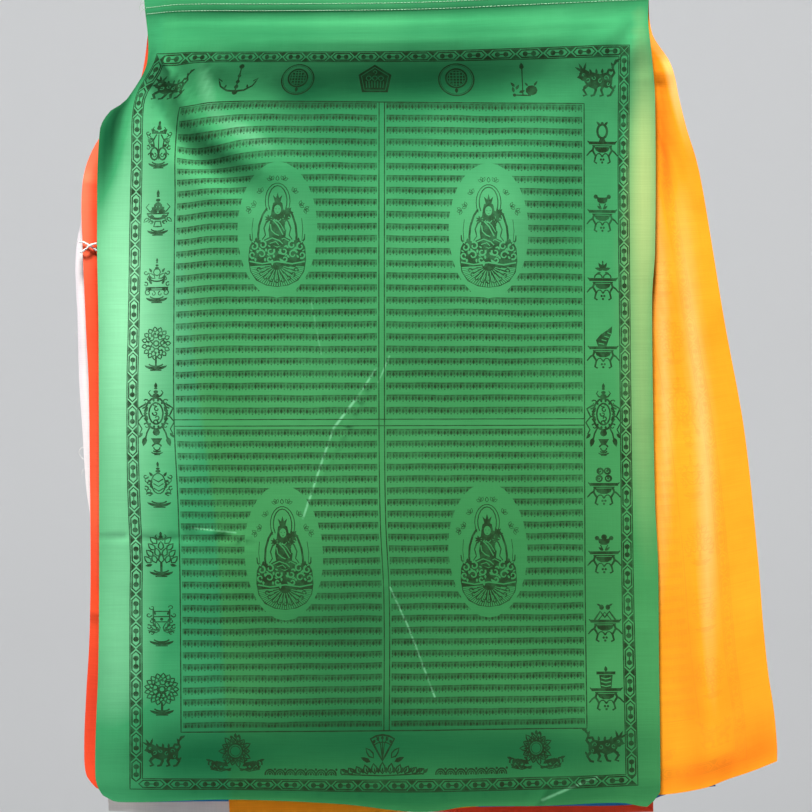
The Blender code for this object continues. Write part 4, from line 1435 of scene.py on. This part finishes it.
# Painted light on the turned-over edge and the long fold crests, painted shade in the valleys and along the
# hem, counted, as all on the flat cloth, from the printed side: small s is at the right as it hangs here
YELLOW_LIGHT_AND_SHADE = (
    Fade(3, 104, 6, 42, 0.90), Fade(44, 480, 8, 250, 0.62, 0.075), Fade(73, 400, 6, 190, 0.50, 0.145),
    Fade(28, 160, 7, 60, -0.80, 0.19), Fade(16, 150, 5, 60, -0.35, 0.10), Fade(78, 720, 20, 90, -0.30),
    Fade(60, 806, 60, 14, -0.50), Fade(16, 790, 26, 34, -0.40), Fade(500, 815, 400, 8, -0.3),
)
YELLOW = plain_flag("yellow_sheet", "yellow", 1, False, YELLOW_LEFT, YELLOW_RIGHT, YELLOW_HEM, YELLOW_FOLDS)
hung_sheet(YELLOW, YELLOW_FINISH, YELLOW_LIGHT_AND_SHADE)
heading_stitches(YELLOW, (0.78, 0.62, 0.30))

# The blue flag is the middle one. Only its lower edge and a sliver at the right show from the front.
BLUE_LEFT = ((-812, -252), (-600, -250), (-400, -243), (-200, -238), (-3, -239))
BLUE_RIGHT = (
    (-796, 317), (-748, 312), (-628, 300), (-458, 284), (-308, 268), (-158, 252), (-60, 242), (10, 240),
)
BLUE_HEM = (
    (-252, -811.5), (-174, -811), (0, -815.5), (160, -815.5), (240, -813.5), (265, -804.5),
    (290, -798.5), (317, -795.5),
)
BLUE_FOLDS = (Fold(-90, -420, -70, -800, 40, 50, 0.0, 1.5), Fold(110, -420, 100, -800, 40, 50, 0.0, -1.2))
BLUE_FINISH = Finish(
    "blue_cotton", (0.010, 0.125, 0.40), (0.030, 0.20, 0.52), (0.06, 0.28, 0.60), (0.005, 0.06, 0.22),
    (0.03, 0.16, 0.45), (0.006, 0.012, 0.03), 0.8, 0.5,
)
BLUE = plain_flag("blue_sheet", "blue", 2, True, BLUE_LEFT, BLUE_RIGHT, BLUE_HEM, BLUE_FOLDS)
hung_sheet(BLUE, BLUE_FINISH)
heading_stitches(BLUE, (0.42, 0.52, 0.66))

# The red flag stands out on the left, printed side to the back, with a lit crest along its edge.
RED_LEFT = (
    (-798, -306), (-786, -315.5), (-760, -318), (-704, -316), (-655, -313), (-587, -311.3), (-464, -312),
    (-388, -313), (-338, -315.5), (-251, -319), (-208, -320), (-178, -317), (-158, -310), (-141, -300),
    (-128, -290), (-90, -262), (-4, -250),
)
RED_RIGHT = ((-822, 255), (-508, 255), (-208, 250), (-100, 241), (9, 236))
RED_HEM = (
    (-306, -798), (-290, -803.5), (-172, -807.5), (-70, -813.5), (20, -820.5), (140, -824.5), (255, -822),
)
RED_FOLDS = (
    Fold(-315, -190, -308, -620, 9, 9, 3.5, 2.5),      # lit crest along the left edge
    Fold(-298, -200, -296, -600, 10, 10, -2.5, -2.0),
    Fold(40, -420, 30, -800, 40, 50, 0.0, 1.4),
)
RED_FINISH = Finish(
    "red_cotton", (0.76, 0.046, 0.016), (0.86, 0.085, 0.026), (0.92, 0.22, 0.12), (0.40, 0.012, 0.012),
    (0.80, 0.06, 0.03), (0.10, 0.01, 0.01), 0.2, 0.9,
)
RED = plain_flag("red_sheet", "red", 3, False, RED_LEFT, RED_RIGHT, RED_HEM, RED_FOLDS)
# Painted light on the lit crest along the left edge, and painted shade lower down on it
RED_LIGHT_AND_SHADE = (
    Fade(556, 200, 7, 90, 0.75), Fade(552, 520, 5, 120, 0.25), Fade(548, 730, 16, 90, -0.55),
)
hung_sheet(RED, RED_FINISH, RED_LIGHT_AND_SHADE)
heading_stitches(RED, (0.72, 0.36, 0.30))

# The white flag is the last one and the free back of the stack, printed on its hidden side. Its left edge
# shows past the red one and curls away.
WHITE_LEFT = (
    (-822, -294), (-708, -301), (-607, -306), (-537, -311), (-495, -316.6), (-426, -321), (-388, -323.5),
    (-322, -325), (-292, -326.5), (-269, -327), (-246, -325), (-226, -321), (-212, -319), (-188, -314),
    (-158, -304), (-136, -289), (-90, -260), (-5, -250),
)
WHITE_RIGHT = ((-816, 240), (-608, 245), (-308, 248), (-100, 240), (8, 236))
WHITE_HEM = ((-294, -822), (-172, -825.5), (20, -823.5), (140, -820), (240, -816))
WHITE_FOLDS = (
    Fold(-322, -240, -318, -520, 9, 10, -1.5, -2.5),   # its left edge curls away to the back
    Fold(-120, -300, -60, -800, 34, 50, -0.5, -3.0),   # folds of the free back
    Fold(90, -260, 130, -800, 34, 50, -0.5, -3.5),
)
WHITE_FINISH = Finish(
    "white_cotton", (0.68, 0.65, 0.66), (0.79, 0.76, 0.75), (0.84, 0.81, 0.80), (0.50, 0.47, 0.56),
    (0.78, 0.78, 0.76), (0.10, 0.10, 0.11), 0.5, 0.8,
)
WHITE = plain_flag("white_sheet", "white", 4, True, WHITE_LEFT, WHITE_RIGHT, WHITE_HEM, WHITE_FOLDS)
# Painted lilac shade along the left edge, where it curls away
WHITE_PAINTED_SHADE = (Fade(1, 300, 3.5, 160, -0.6),)
hung_sheet(WHITE, WHITE_FINISH, WHITE_PAINTED_SHADE)
heading_stitches(WHITE, (0.70, 0.69, 0.66))
loose_ends(WHITE, "white_loose_ends", (0.78, 0.76, 0.75), (
    (452, 4.2, 13.0, True), (335, 2.4, 5.0, False), (402, 2.0, 7.0, False), (474, 3.0, 9.0, False),
    (560, 2.2, 6.0, False), (243, 2.0, 4.0, False),
))

# A white thread is knotted round the red flag's left edge: two turns, one crossing and two frayed ends. It is
# two plies twisted together.
TIE_CLEAR, PLY_RADIUS, PLY_OFF, PLY_PITCH = 2.4, 0.62, 0.56, 4.4


def by_red(x, z, side, lift=0.0):
    """A point that far before (-1) or behind (1) the red cloth."""
    cloth_y = float(depth_at(RED, np.array([x], float), np.array([z], float))[0])
    return x, cloth_y + side * (TIE_CLEAR + lift), z


def round_edge(z, shares):
    """Points past the red flag's left edge, from its front to its back."""
    edge = float(along(RED_LEFT, np.array([z]))[0])
    near, far = by_red(edge, z, -1)[1], by_red(edge, z, 1)[1]
    return [(edge - TIE_CLEAR * sin(pi * (0.15 + 0.7 * k)), near + (far - near) * k, z) for k in shares]


tie_route = finer_run([
    by_red(-304.8, -257.5, -1), by_red(-308, -255, -1), by_red(-311.5, -252.8, -1),
    by_red(-315.5, -250.2, -1),
    by_red(-318.5, -248.8, -1), *round_edge(-248.5, (0.2, 0.5, 0.8)), by_red(-318, -248.8, 1),
    by_red(-314, -249.6, 1), by_red(-310, -251, 1), by_red(-307, -253.5, 1), by_red(-310, -256, 1),
    by_red(-314, -257.4, 1), by_red(-318, -258.2, 1), *round_edge(-258.5, (0.8, 0.5, 0.2)),
    by_red(-318.5, -258.2, -1, 0.2), by_red(-315.5, -256, -1, 1.6), by_red(-311.5, -252.8, -1, 2.8),
    by_red(-308, -251.2, -1, 1.6), by_red(-304.8, -250.3, -1, 0.2),
], 0.5)
FRAYED = ((0.5, 0.6, 4.0), (0.1, -0.7, 3.4), (-0.2, 0.3, 4.6), (0.4, -0.2, 3.0), (-0.3, -0.4, 3.8))
tie_runs = []
for ply in (0, pi):
    wound = []
    for number, (point, across, up) in enumerate(rings([Vector(p) for p in tie_route])):
        angle = ply + 2 * pi * number * 0.5 / PLY_PITCH
        wound.append(point + (across * cos(angle) + up * sin(angle)) * PLY_OFF)
    tie_runs.append((wound, PLY_RADIUS, PLY_RADIUS))
for end, inner in ((tie_route[0], tie_route[6]), (tie_route[-1], tie_route[-7])):
    ahead = (end - inner) / np.linalg.norm(end - inner)
    for lean_x, lean_z, long in FRAYED:
        tip = end + long * (ahead + 0.5 * np.array([lean_x, -0.1, lean_z]))
        middle = end + long * 0.5 * (ahead + 0.25 * np.array([lean_x, 0.1, lean_z]))
        tie_runs.append((finer_run([end - ahead, middle, tip], 0.6), 0.26, 0.08))
tie = threads("white_tie_thread", tie_runs, (0.84, 0.82, 0.80), "tie_thread")
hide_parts("white_tie")

# One woven tape runs through all five headings from end to end, sewn flat, and turns back at the sides.
# It keeps its solid and gets a twilled cotton finish.
tape_finish = bpy.data.materials.new("twill_tape")
tape_finish.use_nodes = True
twill = tape_finish.node_tree
tape_place = add_node(twill, "TexCoord").outputs["Object"]
diagonal = add_node(
    twill, "TexWave", {"Vector": tape_place, "Scale": 420.0, "Distortion": 0.6, "Detail": 1.0},
    bands_direction="DIAGONAL",
).outputs["Fac"]
mottle = noise(twill, tape_place, 160.0, 3.0)
twill_shader = twill.nodes["Principled BSDF"]
tape_colour = blend(twill, mottle, (0.62, 0.62, 0.56, 1), (0.83, 0.83, 0.78, 1))
wire(twill, twill_shader.inputs["Base Color"], tape_colour)
twill_shader.inputs["Roughness"].default_value = 0.9
twill_bump = add_node(twill, "Bump", {"Height": diagonal, "Distance": 0.0002, "Strength": 0.5})
wire(twill, twill_shader.inputs["Normal"], twill_bump.outputs[0])
tape = bpy.data.objects["heading_tape"]
tape.data.materials.clear()
tape.data.materials.append(tape_finish)
